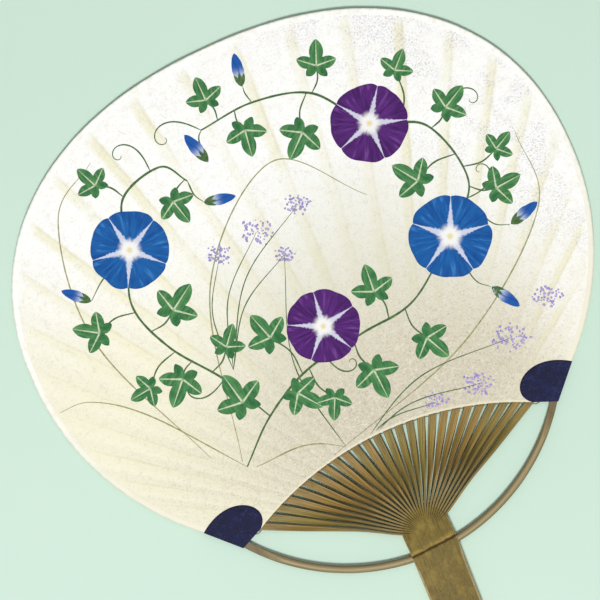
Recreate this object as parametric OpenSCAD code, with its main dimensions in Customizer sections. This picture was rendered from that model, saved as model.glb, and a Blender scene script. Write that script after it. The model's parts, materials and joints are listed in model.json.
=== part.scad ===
// Round uchiwa fan: a split-bamboo frame between two sheets of paper.
// It lies on its back, with X across the fan, Y from the handle to the head and Z up.
// The origin is on the back of the handle, under the node that the bow passes through.

/* [Head] */
// Half of the head's width at its widest line
head_half_w = 127.5; // [110:0.5:140]
// Height of the widest line above the node
widest_y = 135; // [128:0.5:145]
// Rise of the head from its widest line to its top
head_rise = 102.7; // [90:0.1:115]
// Drop of the oval below its widest line
head_drop = 121; // [115:0.5:127]
// Fullness of the shoulders, where 2 is an ellipse
shoulder_power = 2.24; // [2:0.02:2.6]
// Flat pieces along each half of the oval's outline
outline_steps = 48; // [24:2:72]

/* [Paper] */
// Thickness of each sheet
paper_t = 0.2; // [0.1:0.05:0.3]
// Rise of the paper's lower edge from its corners to the centre line
paper_arc_rise = 15.9; // [12:0.1:20]

/* [Ears] */
// Thickness of the ear paper
ear_t = 0.25; // [0.15:0.05:0.4]
// Distance from the head's widest point in to the ear's outer corner
ear_corner_in = 39.5; // [35.5:0.5:43.5]
// Length of the ear's folded side, from its outer corner down to its lower corner
ear_fold_len = 18.4; // [16:0.2:21]
// Angle between the folded side and a line across the fan
ear_fold_angle = 46; // [40:1:52]
// Distance across from the ear's lower corner in to the corner of the paper's lower edge
ear_mouth_w = 10.1; // [8:0.1:12]
// Rise from the ear's lower corner to the corner of the paper's lower edge
ear_mouth_rise = 4.3; // [3:0.1:6]
// Lean of the dome's inner side past the folded side's end
ear_lean = 5; // [2:0.5:7]
// Pull of the dome's inner side
ear_inner_pull = 22.5; // [18:0.5:26]
// How far back from the outer corner the dome's outer side is pulled
ear_outer_back = 3; // [1:0.25:6]
// Pull of the dome's outer side
ear_outer_pull = 21; // [16:0.5:24]

/* [Rim] */
// Width of the binding strip on each face
rim_w = 2.4; // [1.5:0.1:4]
// Thickness of the binding strip
rim_t = 0.12; // [0.08:0.02:0.24]

/* [Ribs] */
// Number of ribs
rib_count = 26; // [20:1:28]
// Width of the middle ribs
rib_w = 3.5; // [3:0.1:3.7]
// Width of the outermost ribs
rib_outer_w = 3; // [2.4:0.1:3.2]
// Thickness of a rib
rib_t = 0.9; // [0.7:0.05:1]
// Distance of the outermost ribs' middle from the corners of the paper's lower edge
rib_corner_gap = 1.1; // [0.3:0.1:5.5]
// Length over which a rib bends from its root into its straight line
rib_bend = 22; // [14:1:28]
// How far below the paper's lower edge a rib lies flat
rib_flat_lead = 3.4; // [2:0.1:8]
// How late the middle ribs twist
twist_late_middle = 1.2; // [1:0.05:1.5]
// How late the outermost ribs twist
twist_late_outer = 1.7; // [1.4:0.05:2]
// Distance that the ribs stop short of the rim
rib_end_gap = 1.2; // [0.6:0.1:3]

/* [Handle] */
// Width of the neck and of the handle at the node
handle_w = 21.4; // [20:0.2:22]
// Thickness of the handle
handle_t = 5.4; // [4.8:0.1:6.5]
// Length of the handle below the node
handle_len = 122; // [90:1:150]
// Width of the handle at its free end
handle_end_w = 18.4; // [15:0.2:21]
// Radius of the corners at the free end
handle_corner_r = 5; // [2:0.5:7]
// Slight lean of the handle from the head's centre line
handle_lean = 3; // [-4:0.5:4]
// Bevel along the handle's long edges
handle_bevel = 0.6; // [0.3:0.1:1]
// Height of the point that the ribs radiate from
root_y = 6.5; // [5:0.1:8]
// How far the neck's round end stands past half of its width, from the ribs' centre
root_bulge = 0.6; // [0.4:0.1:2.2]
// Neck thickness that stands beyond the ribs at their roots, on each face
root_step = 0.2; // [0.1:0.05:0.5]
// Height at which the neck starts to thin
neck_thin_y = 3; // [2:0.25:6]
// Width of the node scar's groove
scar_w = 0.6; // [0.4:0.1:1]
// Depth of the node scar's groove
scar_d = 0.35; // [0.2:0.05:0.5]
// Slant of the node scar
scar_slant = 2.6; // [0:0.2:5]

/* [Bow] */
// Diameter of the bow rod
bow_d = 3.4; // [3:0.1:3.8]
// Height of the bow's middle where it passes through the handle, from the node
bow_y = -1.75; // [-2.5:0.25:-1]
// How far the bow runs on between the sheets past the ear's lower corner
bow_under_ear = 10.8; // [7.5:0.1:12.5]
// How far ahead of the ear's lower corner the bow's tip is fully flattened
tip_lead = 4.5; // [3.5:0.1:7]
// Slope of the whittled face that leads to the flat tip
tip_slope = 8; // [5:0.5:14]

/* [Thread] */
// Diameter of the lacing thread
thread_d = 0.45; // [0.3:0.05:0.6]
// Distance of the thread below the paper's lower edge
thread_drop = 0.6; // [0.5:0.05:0.9]
// How far the thread runs straight past each side of a rib
thread_overrun = 0.25; // [0.2:0.05:0.35]
// How far past the ear's lower corner the thread's end lies against the bow
thread_under_ear = 1.9; // [0.4:0.1:4]

/* [Fits] */
// Clearance between the thread and what it passes
thread_gap = 0.03; // [0.02:0.01:0.06]
// Clearance round the bow in the handle's hole
bow_gap = 0.05; // [0.02:0.01:0.1]
// Clearance between the outermost ribs and the bow
rib_bow_gap = 0.8; // [0.4:0.1:1.5]
// Clearance between the bow and the ear's fold
ear_bow_gap = 0.1; // [0.05:0.05:0.4]
// Clearance between the ends of the rim binding and the ears
rim_ear_gap = 0.1; // [0.05:0.05:0.4]

/* [Hidden] */
// Colours of the finishes
bamboo_tan = [0.66, 0.55, 0.33];
bow_tan = [0.72, 0.6, 0.43];
paper_cream = [0.93, 0.91, 0.83];
paper_back = [0.9, 0.88, 0.8];
rim_cream = [0.84, 0.82, 0.73];
ear_navy = [0.15, 0.15, 0.33];
thread_straw = [0.76, 0.71, 0.55];

// Heights of the layers, all measured from the middle of the handle's thickness
mid_z = handle_t / 2;
sheet_in = rib_t / 2;
sheet_out = sheet_in + paper_t;
rim_out = sheet_out + rim_t;
ear_out = sheet_out + ear_t;

// Overlap of a cutting tool past the face that it cuts
cut = 1;
// Sides of the large arcs and of the rods' round sections
arc_sides = 192;
rod_sides = 48;
quarter_turn = 90;

// The right ear's corners: the outer one lies on the oval, and the lower one ends the folded side
ear_corner_a = acos(1 - ear_corner_in / head_half_w);
ear_corner = oval_point(-ear_corner_a, 0);
ear_along = [cos(ear_fold_angle), sin(ear_fold_angle)];
ear_inward = [-ear_along[1], ear_along[0]];
ear_tip = ear_corner - ear_fold_len * ear_along;

// The paper's lower edge is an arc from corner to corner
paper_corner = ear_tip + [-ear_mouth_w, ear_mouth_rise];
paper_arc_r = (pow(paper_corner[0], 2) + pow(paper_arc_rise, 2)) / (2 * paper_arc_rise);
paper_arc_y = paper_corner[1] + paper_arc_rise - paper_arc_r;

// The bow's arc runs through the node and passes just inside the ears' lower corners
bow_side = bow_d / 2 + ear_bow_gap;
bow_rise = ear_tip[1] - bow_y;
bow_r = (pow(ear_tip[0], 2) + pow(bow_rise, 2) - pow(bow_side, 2)) / (2 * (bow_rise + bow_side));
bow_centre = [0, bow_y + bow_r];
ear_tip_a = atan2(ear_tip[0], bow_centre[1] - ear_tip[1]);
bow_half_a = ear_tip_a + arc_angle(bow_under_ear, bow_r);
tip_a = ear_tip_a - arc_angle(tip_lead, bow_r);
thread_end_a = ear_tip_a + arc_angle(thread_under_ear, bow_r);

// The ribs' roots and their flat places under the paper
rib_centre = [0, root_y];
root_r = handle_w / 2 + root_bulge;
root_half_a = asin(handle_w / 2 / root_r) - arc_angle(rib_t / 2, root_r);
rib_pitch = 2 * asin((paper_corner[0] - rib_corner_gap) / paper_arc_r) / (rib_count - 1);
twist_rings = 8;
bisections = 24;
path_step = 0.5;

// The thread's path
thread_arc_r = paper_arc_r - thread_drop;
thread_wave = rib_t / 2 + thread_d / 2 + thread_gap;
thread_sides = 6;

// Points along an ear's dome
dome_steps = 20;

// Angle that a length takes up along an arc
function arc_angle(length, r) = length / r * 180 / PI;

function rib_name(i) = str("rib_", i < 10 ? "0" : "", i);

// Outline of the head

// Power of an absolute value that keeps the sign
function signed_power(x, p) = sign(x) * pow(abs(x), p);

// A point of the head's oval at angle a, drawn in by inset
function oval_point(a, inset) =
    let (
        half_w = head_half_w - inset,
        power = sin(a) > 0 ? 2 / shoulder_power : 1,
        reach = (sin(a) > 0 ? head_rise : head_drop) - inset
    )
    [half_w * signed_power(cos(a), power), widest_y + reach * signed_power(sin(a), power)];

// The oval from the right ear round the top to the left ear
function oval_path(inset, end_a) =
    [for (k = [-outline_steps:outline_steps])
        oval_point(quarter_turn + k * (quarter_turn + end_a) / outline_steps, inset)];

// True where a point lies inside the oval drawn in by inset
function in_oval(p, inset) =
    let (
        across = abs(p[0]) / (head_half_w - inset),
        along = (p[1] - widest_y) / ((p[1] > widest_y ? head_rise : head_drop) - inset),
        power = p[1] > widest_y ? shoulder_power : 2
    )
    pow(across, power) + pow(abs(along), power) < 1;

function mirrored(p) = [-p[0], p[1]];

// Ribs

// Number of a rib counted from the middle, from -1 at the left to 1 at the right
function rib_side(i) = (2 * i - rib_count - 1) / (rib_count - 1);

// The point where a rib's centre line crosses the paper's lower edge
function rib_edge_point(i) =
    let (a = (i - (rib_count + 1) / 2) * rib_pitch)
    [paper_arc_r * sin(a), paper_arc_y + paper_arc_r * cos(a)];

// Direction of a rib's straight part, as an angle from the centre line
function rib_angle(i) = let (d = rib_edge_point(i) - rib_centre) atan2(d[0], d[1]);

function rib_dir(i) = [sin(rib_angle(i)), cos(rib_angle(i))];

function rib_width(i) = rib_w + (rib_outer_w - rib_w) * abs(rib_side(i));

// Point at a distance from the ribs' centre, bent near the root
function rib_point(i, reach) =
    let (
        left = max(0, 1 - (reach - root_r) / rib_bend),
        a = rib_angle(i) + (root_half_a * rib_side(i) - rib_angle(i)) * left * left
    )
    rib_centre + reach * [sin(a), cos(a)];

// Angle on the bow's arc at which a rib's straight line crosses it
function bow_crossing(i) =
    let (
        dir = rib_dir(i),
        rise = bow_centre - rib_centre,
        along = dir * rise,
        p = rib_centre + (along + sqrt(along * along + bow_r * bow_r - rise * rise)) * dir
    )
    atan2(abs(p[0]), bow_centre[1] - p[1]);

// The outermost ribs would run into the bow's tips, so they stop short of them
function stops_at_bow(i) =
    bow_crossing(i) < bow_half_a + arc_angle(rib_outer_w + bow_d + rib_bow_gap, bow_r);

// Where a rib may run: inside the rim, and short of the bow where it would meet a tip
function rib_may_reach(i, p) =
    in_oval(p, rib_end_gap)
    && (!stops_at_bow(i) || norm(p - bow_centre) < bow_r - bow_d / 2 - rib_bow_gap);

// Furthest length along a line at which it may still run, found by halving the range
function reach_limit(i, p, near, far, n) =
    n == 0
        ? near
        : let (half = (near + far) / 2)
          rib_may_reach(i, p + half * rib_dir(i))
              ? reach_limit(i, p, half, far, n - 1)
              : reach_limit(i, p, near, half, n - 1);

// Four corners of a rib's section, at a point with the rib's direction and its twist
function rib_section(p, dir, w, twist) =
    let (
        side = [dir[1], -dir[0]],
        wide = w / 2 * [side[0] * sin(twist), side[1] * sin(twist), cos(twist)],
        thick = rib_t / 2 * [side[0] * cos(twist), side[1] * cos(twist), -sin(twist)],
        c = [p[0], p[1], mid_z]
    )
    [c - wide - thick, c + wide - thick, c + wide + thick, c - wide + thick];

// The last section follows the rim, so each of its sides has its own length
function rib_end_section(i) =
    let (
        dir = rib_dir(i),
        side = [dir[1], -dir[0]] * rib_width(i) / 2,
        start = norm(rib_edge_point(i) - rib_centre) + 1,
        far = widest_y + head_rise,
        low = rib_centre - side,
        high = rib_centre + side,
        low_end = low + dir * reach_limit(i, low, start, far, bisections),
        high_end = high + dir * reach_limit(i, high, start, far, bisections),
        z0 = mid_z - rib_t / 2,
        z1 = mid_z + rib_t / 2
    )
    [
        [low_end[0], low_end[1], z1],
        [high_end[0], high_end[1], z1],
        [high_end[0], high_end[1], z0],
        [low_end[0], low_end[1], z0]
    ];

// A blade that leaves the neck on edge and twists flat before it meets the paper
module rib(i) {
    flat_reach = norm(rib_edge_point(i) - rib_centre) - rib_flat_lead;
    late = twist_late_middle + (twist_late_outer - twist_late_middle) * abs(rib_side(i));
    sections = concat(
        [for (k = [0:twist_rings - 1])
            let (
                f = k / (twist_rings - 1),
                reach = root_r + f * (flat_reach - root_r),
                p = rib_point(i, reach),
                ahead = k == 0 ? p - rib_centre : rib_point(i, reach + path_step) - p
            )
            rib_section(p, ahead / norm(ahead), rib_width(i), quarter_turn * pow(f, late))],
        [rib_end_section(i)]
    );
    color(bamboo_tan) tube(sections);
}

// Solid through a list of rings with the same number of corners
module tube(rings) {
    n = len(rings[0]);
    last = len(rings) - 1;
    polyhedron(
        points = [for (ring = rings) each ring],
        faces = concat(
            [[for (j = [0:n - 1]) j]],
            [for (k = [0:last - 1]) for (j = [0:n - 1])
                [k * n + j, (k + 1) * n + j, (k + 1) * n + (j + 1) % n]],
            [for (k = [0:last - 1]) for (j = [0:n - 1])
                [k * n + j, (k + 1) * n + (j + 1) % n, k * n + (j + 1) % n]],
            [[for (j = [n - 1:-1:0]) last * n + j]]
        )
    );
}

// Handle

// Long square bar along an edge, which bevels it
module edge_bar(from, to, z) {
    d = to - from;
    side = handle_bevel * sqrt(2);
    translate([from[0], from[1], z])
        rotate([0, 0, atan2(d[1], d[0])])
            rotate([45, 0, 0])
                translate([0, -side / 2, -side / 2])
                    cube([norm(d), side, side]);
}

// The handle and the neck, with the bow's hole through the node
module handle() {
    half = handle_w / 2;
    end_half = handle_end_w / 2;
    end_y = handle_corner_r - handle_len;
    end_x = end_y * tan(handle_lean);
    bevel_from = -2 * bow_d;
    color(bamboo_tan)
        difference() {
            linear_extrude(height = handle_t)
                union() {
                    intersection() {
                        translate(rib_centre) circle(r = root_r, $fn = arc_sides);
                        translate([-half, 0]) square([handle_w, root_y + root_r + cut]);
                    }
                    translate([-half, 0]) square([handle_w, root_y]);
                    polygon([[half, 0], [-half, 0], [end_x - end_half, end_y], [end_x + end_half, end_y]]);
                    for (side = [-1, 1])
                        translate([end_x + side * (end_half - handle_corner_r), end_y])
                            circle(r = handle_corner_r, $fn = rod_sides);
                    translate([end_x - end_half + handle_corner_r, -handle_len])
                        square([handle_end_w - 2 * handle_corner_r, handle_corner_r + cut]);
                }
            // The bow's hole
            translate([0, bow_centre[1], mid_z])
                rotate_extrude($fn = arc_sides)
                    translate([bow_r, 0]) circle(d = bow_d + 2 * bow_gap, $fn = rod_sides);
            // The neck thins towards the ribs on both faces
            for (face = [0, 1])
                translate([0, 0, mid_z])
                    mirror([0, 0, face])
                        rotate([quarter_turn, 0, quarter_turn])
                            linear_extrude(height = handle_w + 2 * cut, center = true)
                                polygon([
                                    [neck_thin_y, mid_z],
                                    [root_y + root_r + cut, rib_w / 2 + root_step],
                                    [root_y + root_r + cut, mid_z + cut],
                                    [neck_thin_y, mid_z + cut]
                                ]);
            // The node scar across the face
            translate([0, 0, handle_t])
                rotate([0, 0, scar_slant])
                    rotate([quarter_turn, 0, quarter_turn])
                        linear_extrude(height = handle_w + 2 * cut, center = true)
                            polygon([
                                [-scar_w / 2, cut], [-scar_w / 2, 0], [0, -scar_d],
                                [scar_w / 2, 0], [scar_w / 2, cut]
                            ]);
            // Bevels along the long edges
            for (side = [-1, 1])
                for (z = [0, handle_t])
                    let (f = bevel_from / end_y)
                        edge_bar(
                            [side * half, 0] + f * ([end_x + side * end_half, end_y] - [side * half, 0]),
                            [end_x + side * end_half, end_y],
                            z
                        );
        }
}

// Bow

// Everything outside an ear's folded side, from its lower corner on
module beyond_fold() {
    translate([ear_tip[0], ear_tip[1], 0])
        rotate([0, 0, ear_fold_angle])
            translate([0, ear_bow_gap / 2 - 2 * ear_fold_len, -cut])
                cube([2 * ear_fold_len, 2 * ear_fold_len, handle_t + 2 * cut]);
}

// A round rod bent to an arc, whittled flat at both tips and kept inside the ears' folds
module bow() {
    flat_x = bow_r * sin(tip_a);
    ramp_x = flat_x - (bow_d / 2 + cut - sheet_in) / tan(tip_slope);
    end_x = bow_r + bow_d;
    color(bow_tan)
        difference() {
            intersection() {
                translate([0, bow_centre[1], mid_z])
                    rotate([0, 0, -quarter_turn - bow_half_a])
                        rotate_extrude(angle = 2 * bow_half_a, $fn = arc_sides)
                            translate([bow_r, 0]) circle(d = bow_d, $fn = rod_sides);
                translate([0, bow_centre[1], mid_z])
                    rotate([quarter_turn, 0, 0])
                        linear_extrude(height = bow_r + bow_d)
                            polygon([
                                [-ramp_x, bow_d / 2 + cut], [ramp_x, bow_d / 2 + cut],
                                [flat_x, sheet_in], [end_x, sheet_in],
                                [end_x, -sheet_in], [flat_x, -sheet_in],
                                [ramp_x, -bow_d / 2 - cut], [-ramp_x, -bow_d / 2 - cut],
                                [-flat_x, -sheet_in], [-end_x, -sheet_in],
                                [-end_x, sheet_in], [-flat_x, sheet_in]
                            ]);
            }
            for (side = [0, 1]) mirror([side, 0, 0]) beyond_fold();
        }
}

// Thread

// Angle on the lacing's arc at which a rib's centre line crosses it
function thread_angle(i) =
    let (
        dir = rib_dir(i),
        rise = [0, paper_arc_y] - rib_centre,
        along = dir * rise,
        p = rib_centre + (along + sqrt(along * along + thread_arc_r * thread_arc_r - rise * rise)) * dir
    )
    atan2(p[0], p[1] - paper_arc_y);

// Angle on the lacing's arc that a rib covers on each side of its centre line
function thread_cover(i) =
    arc_angle(rib_width(i) / 2 / cos(rib_angle(i) - thread_angle(i)) + thread_overrun, thread_arc_r);

function thread_point(a, z) = [thread_arc_r * sin(a), paper_arc_y + thread_arc_r * cos(a), mid_z + z];

// Where the thread ends beside the bow's tip, between the sheets
function thread_end(side) =
    let (r = bow_r - bow_d / 2 - thread_d / 2 - thread_gap)
    [side * r * sin(thread_end_a), bow_centre[1] - r * cos(thread_end_a), mid_z];

// Over one rib and under the next, from one bow tip to the other
function thread_path() =
    let (last_a = thread_angle(rib_count) + thread_cover(rib_count) + rib_pitch / 4)
    concat(
        [thread_end(-1), thread_point(-last_a, 0)],
        [for (i = [1:rib_count]) for (side = [-1, 1])
            thread_point(thread_angle(i) + side * thread_cover(i), i % 2 == 0 ? thread_wave : -thread_wave)],
        [thread_point(last_a, 0), thread_end(1)]
    );

// Thread as a thin tube along its path
module lacing_thread() {
    path = thread_path();
    last = len(path) - 1;
    color(thread_straw)
        tube([for (k = [0:last])
            let (
                along = path[min(k + 1, last)] - path[max(k - 1, 0)],
                t = along / norm(along),
                flat = [t[1], -t[0], 0],
                side = flat / norm(flat),
                rise = cross(side, t)
            )
            [for (j = [0:thread_sides - 1])
                let (a = j * 360 / thread_sides)
                path[k] + thread_d / 2 * (cos(a) * side - sin(a) * rise)]]);
}

// Papers, rim and ears

// Outline of a sheet, cut below by the lower edge's arc
module sheet_plan() {
    difference() {
        polygon(concat(
            oval_path(0, ear_corner_a),
            [mirrored(ear_tip), mirrored(paper_corner), paper_corner, ear_tip]
        ));
        translate([0, paper_arc_y]) circle(r = paper_arc_r, $fn = arc_sides);
    }
}

module front_paper() {
    color(paper_cream) translate([0, 0, mid_z + sheet_in]) linear_extrude(height = paper_t) sheet_plan();
}

module back_paper() {
    color(paper_back) translate([0, 0, mid_z - sheet_out]) linear_extrude(height = paper_t) sheet_plan();
}

// Band along the oval between two insets
module rim_band(outer, inner, end_a) {
    turned = oval_path(inner, end_a);
    polygon(concat(oval_path(outer, end_a), [for (k = [len(turned) - 1:-1:0]) turned[k]]));
}

// Strip folded over the head's edge, from ear to ear
module rim_binding() {
    end_a = ear_corner_a - arc_angle(rim_ear_gap, head_half_w);
    color(rim_cream)
        translate([0, 0, mid_z])
            difference() {
                linear_extrude(height = 2 * rim_out, center = true) rim_band(-rim_t, rim_w, end_a);
                linear_extrude(height = 2 * sheet_out, center = true) rim_band(0, rim_w + cut, ear_corner_a);
            }
}

// Point on the ear's domed side, from the paper's corner to the ear's outer corner
function dome_point(f) =
    let (
        inner_pull = ear_tip - ear_lean * ear_along + ear_inner_pull * ear_inward,
        outer_pull = ear_corner - ear_outer_back * ear_along + ear_outer_pull * ear_inward,
        g = 1 - f
    )
    g * g * g * paper_corner + 3 * g * g * f * inner_pull
    + 3 * g * f * f * outer_pull + f * f * f * ear_corner;

// Patch of paper folded over a lower corner of the head
module ear(side) {
    color(ear_navy)
        mirror([side, 0, 0])
            translate([0, 0, mid_z])
                difference() {
                    linear_extrude(height = 2 * ear_out, center = true)
                        polygon(concat(
                            [ear_corner, ear_corner - ear_t * ear_inward],
                            [ear_tip - ear_t * ear_inward, ear_tip],
                            [for (k = [0:dome_steps - 1]) dome_point(k / dome_steps)]
                        ));
                    translate([ear_tip[0], ear_tip[1], 0])
                        rotate([0, 0, ear_fold_angle])
                            translate([-2 * ear_fold_len, 0, -sheet_out])
                                cube([4 * ear_fold_len, 2 * ear_fold_len, 2 * sheet_out]);
                }
}

module left_ear() {
    ear(1);
}

module right_ear() {
    ear(0);
}

handle();
bow();
for (i = [1:rib_count])
    rib(i);
lacing_thread();
front_paper();
back_paper();
rim_binding();
left_ear();
right_ear();
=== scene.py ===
import bisect
import functools
import json
import math
import random

import bmesh
import bpy
from mathutils import Matrix, Vector, noise

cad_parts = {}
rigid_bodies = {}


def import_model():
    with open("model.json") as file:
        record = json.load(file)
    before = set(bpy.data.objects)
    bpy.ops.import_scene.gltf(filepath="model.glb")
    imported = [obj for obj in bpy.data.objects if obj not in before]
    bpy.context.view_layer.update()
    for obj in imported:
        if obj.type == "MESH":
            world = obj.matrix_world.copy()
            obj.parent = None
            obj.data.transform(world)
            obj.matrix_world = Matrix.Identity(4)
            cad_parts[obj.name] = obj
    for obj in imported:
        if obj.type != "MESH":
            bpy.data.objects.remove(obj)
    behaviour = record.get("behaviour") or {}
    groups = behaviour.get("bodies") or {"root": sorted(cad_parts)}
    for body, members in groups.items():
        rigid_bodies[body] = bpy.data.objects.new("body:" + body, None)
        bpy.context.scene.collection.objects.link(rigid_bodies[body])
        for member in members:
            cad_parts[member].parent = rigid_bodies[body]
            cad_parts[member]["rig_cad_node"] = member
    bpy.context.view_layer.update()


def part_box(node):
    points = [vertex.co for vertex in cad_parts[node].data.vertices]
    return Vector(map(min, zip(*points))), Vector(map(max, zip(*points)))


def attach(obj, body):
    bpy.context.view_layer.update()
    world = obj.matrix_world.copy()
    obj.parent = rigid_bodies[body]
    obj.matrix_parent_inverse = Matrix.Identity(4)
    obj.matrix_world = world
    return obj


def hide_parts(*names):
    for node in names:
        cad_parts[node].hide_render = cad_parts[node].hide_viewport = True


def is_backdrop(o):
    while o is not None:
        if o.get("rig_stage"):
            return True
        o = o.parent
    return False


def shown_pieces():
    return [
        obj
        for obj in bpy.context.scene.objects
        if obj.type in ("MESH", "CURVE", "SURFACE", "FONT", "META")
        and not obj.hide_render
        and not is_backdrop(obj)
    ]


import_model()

# Sizes are in millimetres, as the bamboo and paper are cut, and become metres in each mesh
MM = 0.001


def node_box(node):
    """Lowest and highest corner of a part of the frame, in millimetres."""
    low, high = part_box(node)
    return low / MM, high / MM


# The head: an oval with full shoulders, in paper on both faces
HEAD_HALF_W = node_box("front_paper")[1].x
HEAD_TOP = node_box("front_paper")[1].y
WIDEST_Y = 135.0
HEAD_RISE = HEAD_TOP - WIDEST_Y
HEAD_DROP = 121.0
SHOULDER_POWER = 2.24
PAPER_T = 0.2
PAPER_ARC_RISE = 15.9

# The dark ears over the head's lower corners
EAR_T = 0.25
EAR_CORNER_IN = 39.5
EAR_FOLD_LEN = 18.4
EAR_FOLD_ANGLE = math.radians(46)
EAR_MOUTH_W = 10.1
EAR_MOUTH_RISE = 4.3
EAR_LEAN = 5.0
EAR_INNER_PULL = 22.5
EAR_OUTER_BACK = 3.0
EAR_OUTER_PULL = 21.0

# The rim strip
RIM_W = 2.4
RIM_T = 0.12
RIM_EAR_GAP = 0.1

# The handle and its neck
HANDLE_T = node_box("handle")[1].z
HANDLE_END_Y = node_box("handle")[0].y
HANDLE_HALF_W = 10.7
HANDLE_END_HALF_W = 9.2
HANDLE_CORNER_R = 5.0
HANDLE_LEAN = math.radians(3)
MID_Z = HANDLE_T / 2
ROOT_Y = 6.5
ROOT_R = 11.3
ROOT_STEP = 0.04
NECK_THIN_Y = 3.0
SCAR_SLANT = math.radians(2.6)

# The ribs
RIB_COUNT = 26
RIB_W = 3.5
RIB_OUTER_W = 3.0
RIB_T = 0.9
RIB_CORNER_GAP = 1.1
RIB_BEND = 22.0
RIB_FLAT_LEAD = 3.4
RIB_END_GAP = 1.2
TWIST_LATE_MIDDLE = 1.2
TWIST_LATE_OUTER = 1.7

# The bow
BOW_D = node_box("bow")[1].z - node_box("bow")[0].z
BOW_Y = node_box("bow")[0].y + BOW_D / 2
BOW_UNDER_EAR = 10.8
BOW_TIP_LEAD = 4.5
BOW_TIP_SLOPE = math.radians(8)
EAR_BOW_GAP = 0.1
RIB_BOW_GAP = 0.8

# The lacing thread
THREAD_D = 0.45
THREAD_DROP = 0.6
THREAD_OVERRUN = 0.25
THREAD_UNDER_EAR = 1.9
THREAD_GAP = 0.03

# The layers, measured from the middle of the handle's thickness
SHEET_IN = RIB_T / 2
SHEET_OUT = SHEET_IN + PAPER_T


# Outline of the head

def signed_power(x, power):
    return math.copysign(abs(x) ** power, x)


def oval_half(upper):
    """Power and height of the oval's upper or lower half."""
    return (SHOULDER_POWER, HEAD_RISE) if upper else (2, HEAD_DROP)


def oval_point(a, inset=0.0):
    """A point of the head's oval at an angle from the X axis, drawn in by inset."""
    power, reach = oval_half(math.sin(a) > 0)
    x = (HEAD_HALF_W - inset) * signed_power(math.cos(a), 2 / power)
    return Vector((x, WIDEST_Y + (reach - inset) * signed_power(math.sin(a), 2 / power)))


def oval_size(p, inset=0.0):
    """1 on the oval drawn in by inset, less inside it, and the power that this is reckoned with."""
    power, reach = oval_half(p.y > WIDEST_Y)
    across, along = abs(p.x) / (HEAD_HALF_W - inset), abs(p.y - WIDEST_Y) / (reach - inset)
    return across ** power + along ** power, power


def in_oval(p, inset=0.0):
    return oval_size(p, inset)[0] < 1


EAR_CORNER_A = math.acos(1 - EAR_CORNER_IN / HEAD_HALF_W)
EAR_CORNER = oval_point(-EAR_CORNER_A)
EAR_ALONG = Vector((math.cos(EAR_FOLD_ANGLE), math.sin(EAR_FOLD_ANGLE)))
EAR_INWARD = Vector((-EAR_ALONG.y, EAR_ALONG.x))
EAR_TIP = EAR_CORNER - EAR_FOLD_LEN * EAR_ALONG

PAPER_CORNER = EAR_TIP + Vector((-EAR_MOUTH_W, EAR_MOUTH_RISE))
PAPER_ARC_R = (PAPER_CORNER.x ** 2 + PAPER_ARC_RISE ** 2) / (2 * PAPER_ARC_RISE)
PAPER_ARC = Vector((0, PAPER_CORNER.y + PAPER_ARC_RISE - PAPER_ARC_R))

BOW_SIDE = BOW_D / 2 + EAR_BOW_GAP
BOW_RISE = EAR_TIP.y - BOW_Y
BOW_R = (EAR_TIP.x ** 2 + BOW_RISE ** 2 - BOW_SIDE ** 2) / (2 * (BOW_RISE + BOW_SIDE))
BOW_CENTRE = Vector((0, BOW_Y + BOW_R))
EAR_TIP_A = math.atan2(EAR_TIP.x, BOW_CENTRE.y - EAR_TIP.y)
BOW_HALF_A = EAR_TIP_A + BOW_UNDER_EAR / BOW_R
BOW_TIP_X = BOW_R * math.sin(EAR_TIP_A - BOW_TIP_LEAD / BOW_R)

RIB_CENTRE = Vector((0, ROOT_Y))
ROOT_HALF_A = math.asin(HANDLE_HALF_W / ROOT_R) - RIB_T / 2 / ROOT_R
RIB_PITCH = 2 * math.asin((PAPER_CORNER.x - RIB_CORNER_GAP) / PAPER_ARC_R) / (RIB_COUNT - 1)


def turned(a):
    """Direction at an angle from the fan's centre line, where the right is positive."""
    return Vector((math.sin(a), math.cos(a)))


def turn_of(p):
    """Angle of a point from the centre line, seen from the point that the ribs spread from."""
    return math.atan2(p.x, p.y - ROOT_Y)


def halve(good, near, far, rounds=30):
    """Furthest length at which good still holds, found by halving the range."""
    for _ in range(rounds):
        half = (near + far) / 2
        if good(half):
            near = half
        else:
            far = half
    return near


def line_reach(direction, start, along):
    """Distance from the ribs' centre, in a direction, to the line through start."""
    rise = start - RIB_CENTRE
    return (rise.x * along.y - rise.y * along.x) / (direction.x * along.y - direction.y * along.x)


def arc_reach(direction, centre, radius):
    """Distance from the ribs' centre, in a direction, to the far side of an arc."""
    rise = centre - RIB_CENTRE
    along = direction.dot(rise)
    return along + math.sqrt(along * along + radius * radius - rise.dot(rise))


def paper_start(a):
    """Distance from the ribs' centre to the paper's lower edge, or to the ear's mouth."""
    direction = turned(abs(a))
    if abs(a) <= turn_of(PAPER_CORNER):
        return arc_reach(direction, PAPER_ARC, PAPER_ARC_R)
    return line_reach(direction, EAR_TIP, PAPER_CORNER - EAR_TIP)


def paper_end(a):
    """Distance from the ribs' centre to the head's outline."""
    direction = turned(abs(a))
    if abs(a) > turn_of(EAR_CORNER):
        return line_reach(direction, EAR_TIP, EAR_ALONG)
    return halve(lambda reach: in_oval(RIB_CENTRE + reach * direction), 20, HEAD_TOP)


# Ribs

def rib_side(i):
    """Place of a rib across the fan, from -1 at the left to 1 at the right."""
    return (2 * i - RIB_COUNT - 1) / (RIB_COUNT - 1)


def rib_edge_point(i):
    """Where a rib's middle line crosses the paper's lower edge."""
    return PAPER_ARC + PAPER_ARC_R * turned((i - (RIB_COUNT + 1) / 2) * RIB_PITCH)


def rib_angle(i):
    return turn_of(rib_edge_point(i))


def rib_width(i):
    return RIB_W + (RIB_OUTER_W - RIB_W) * abs(rib_side(i))


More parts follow.
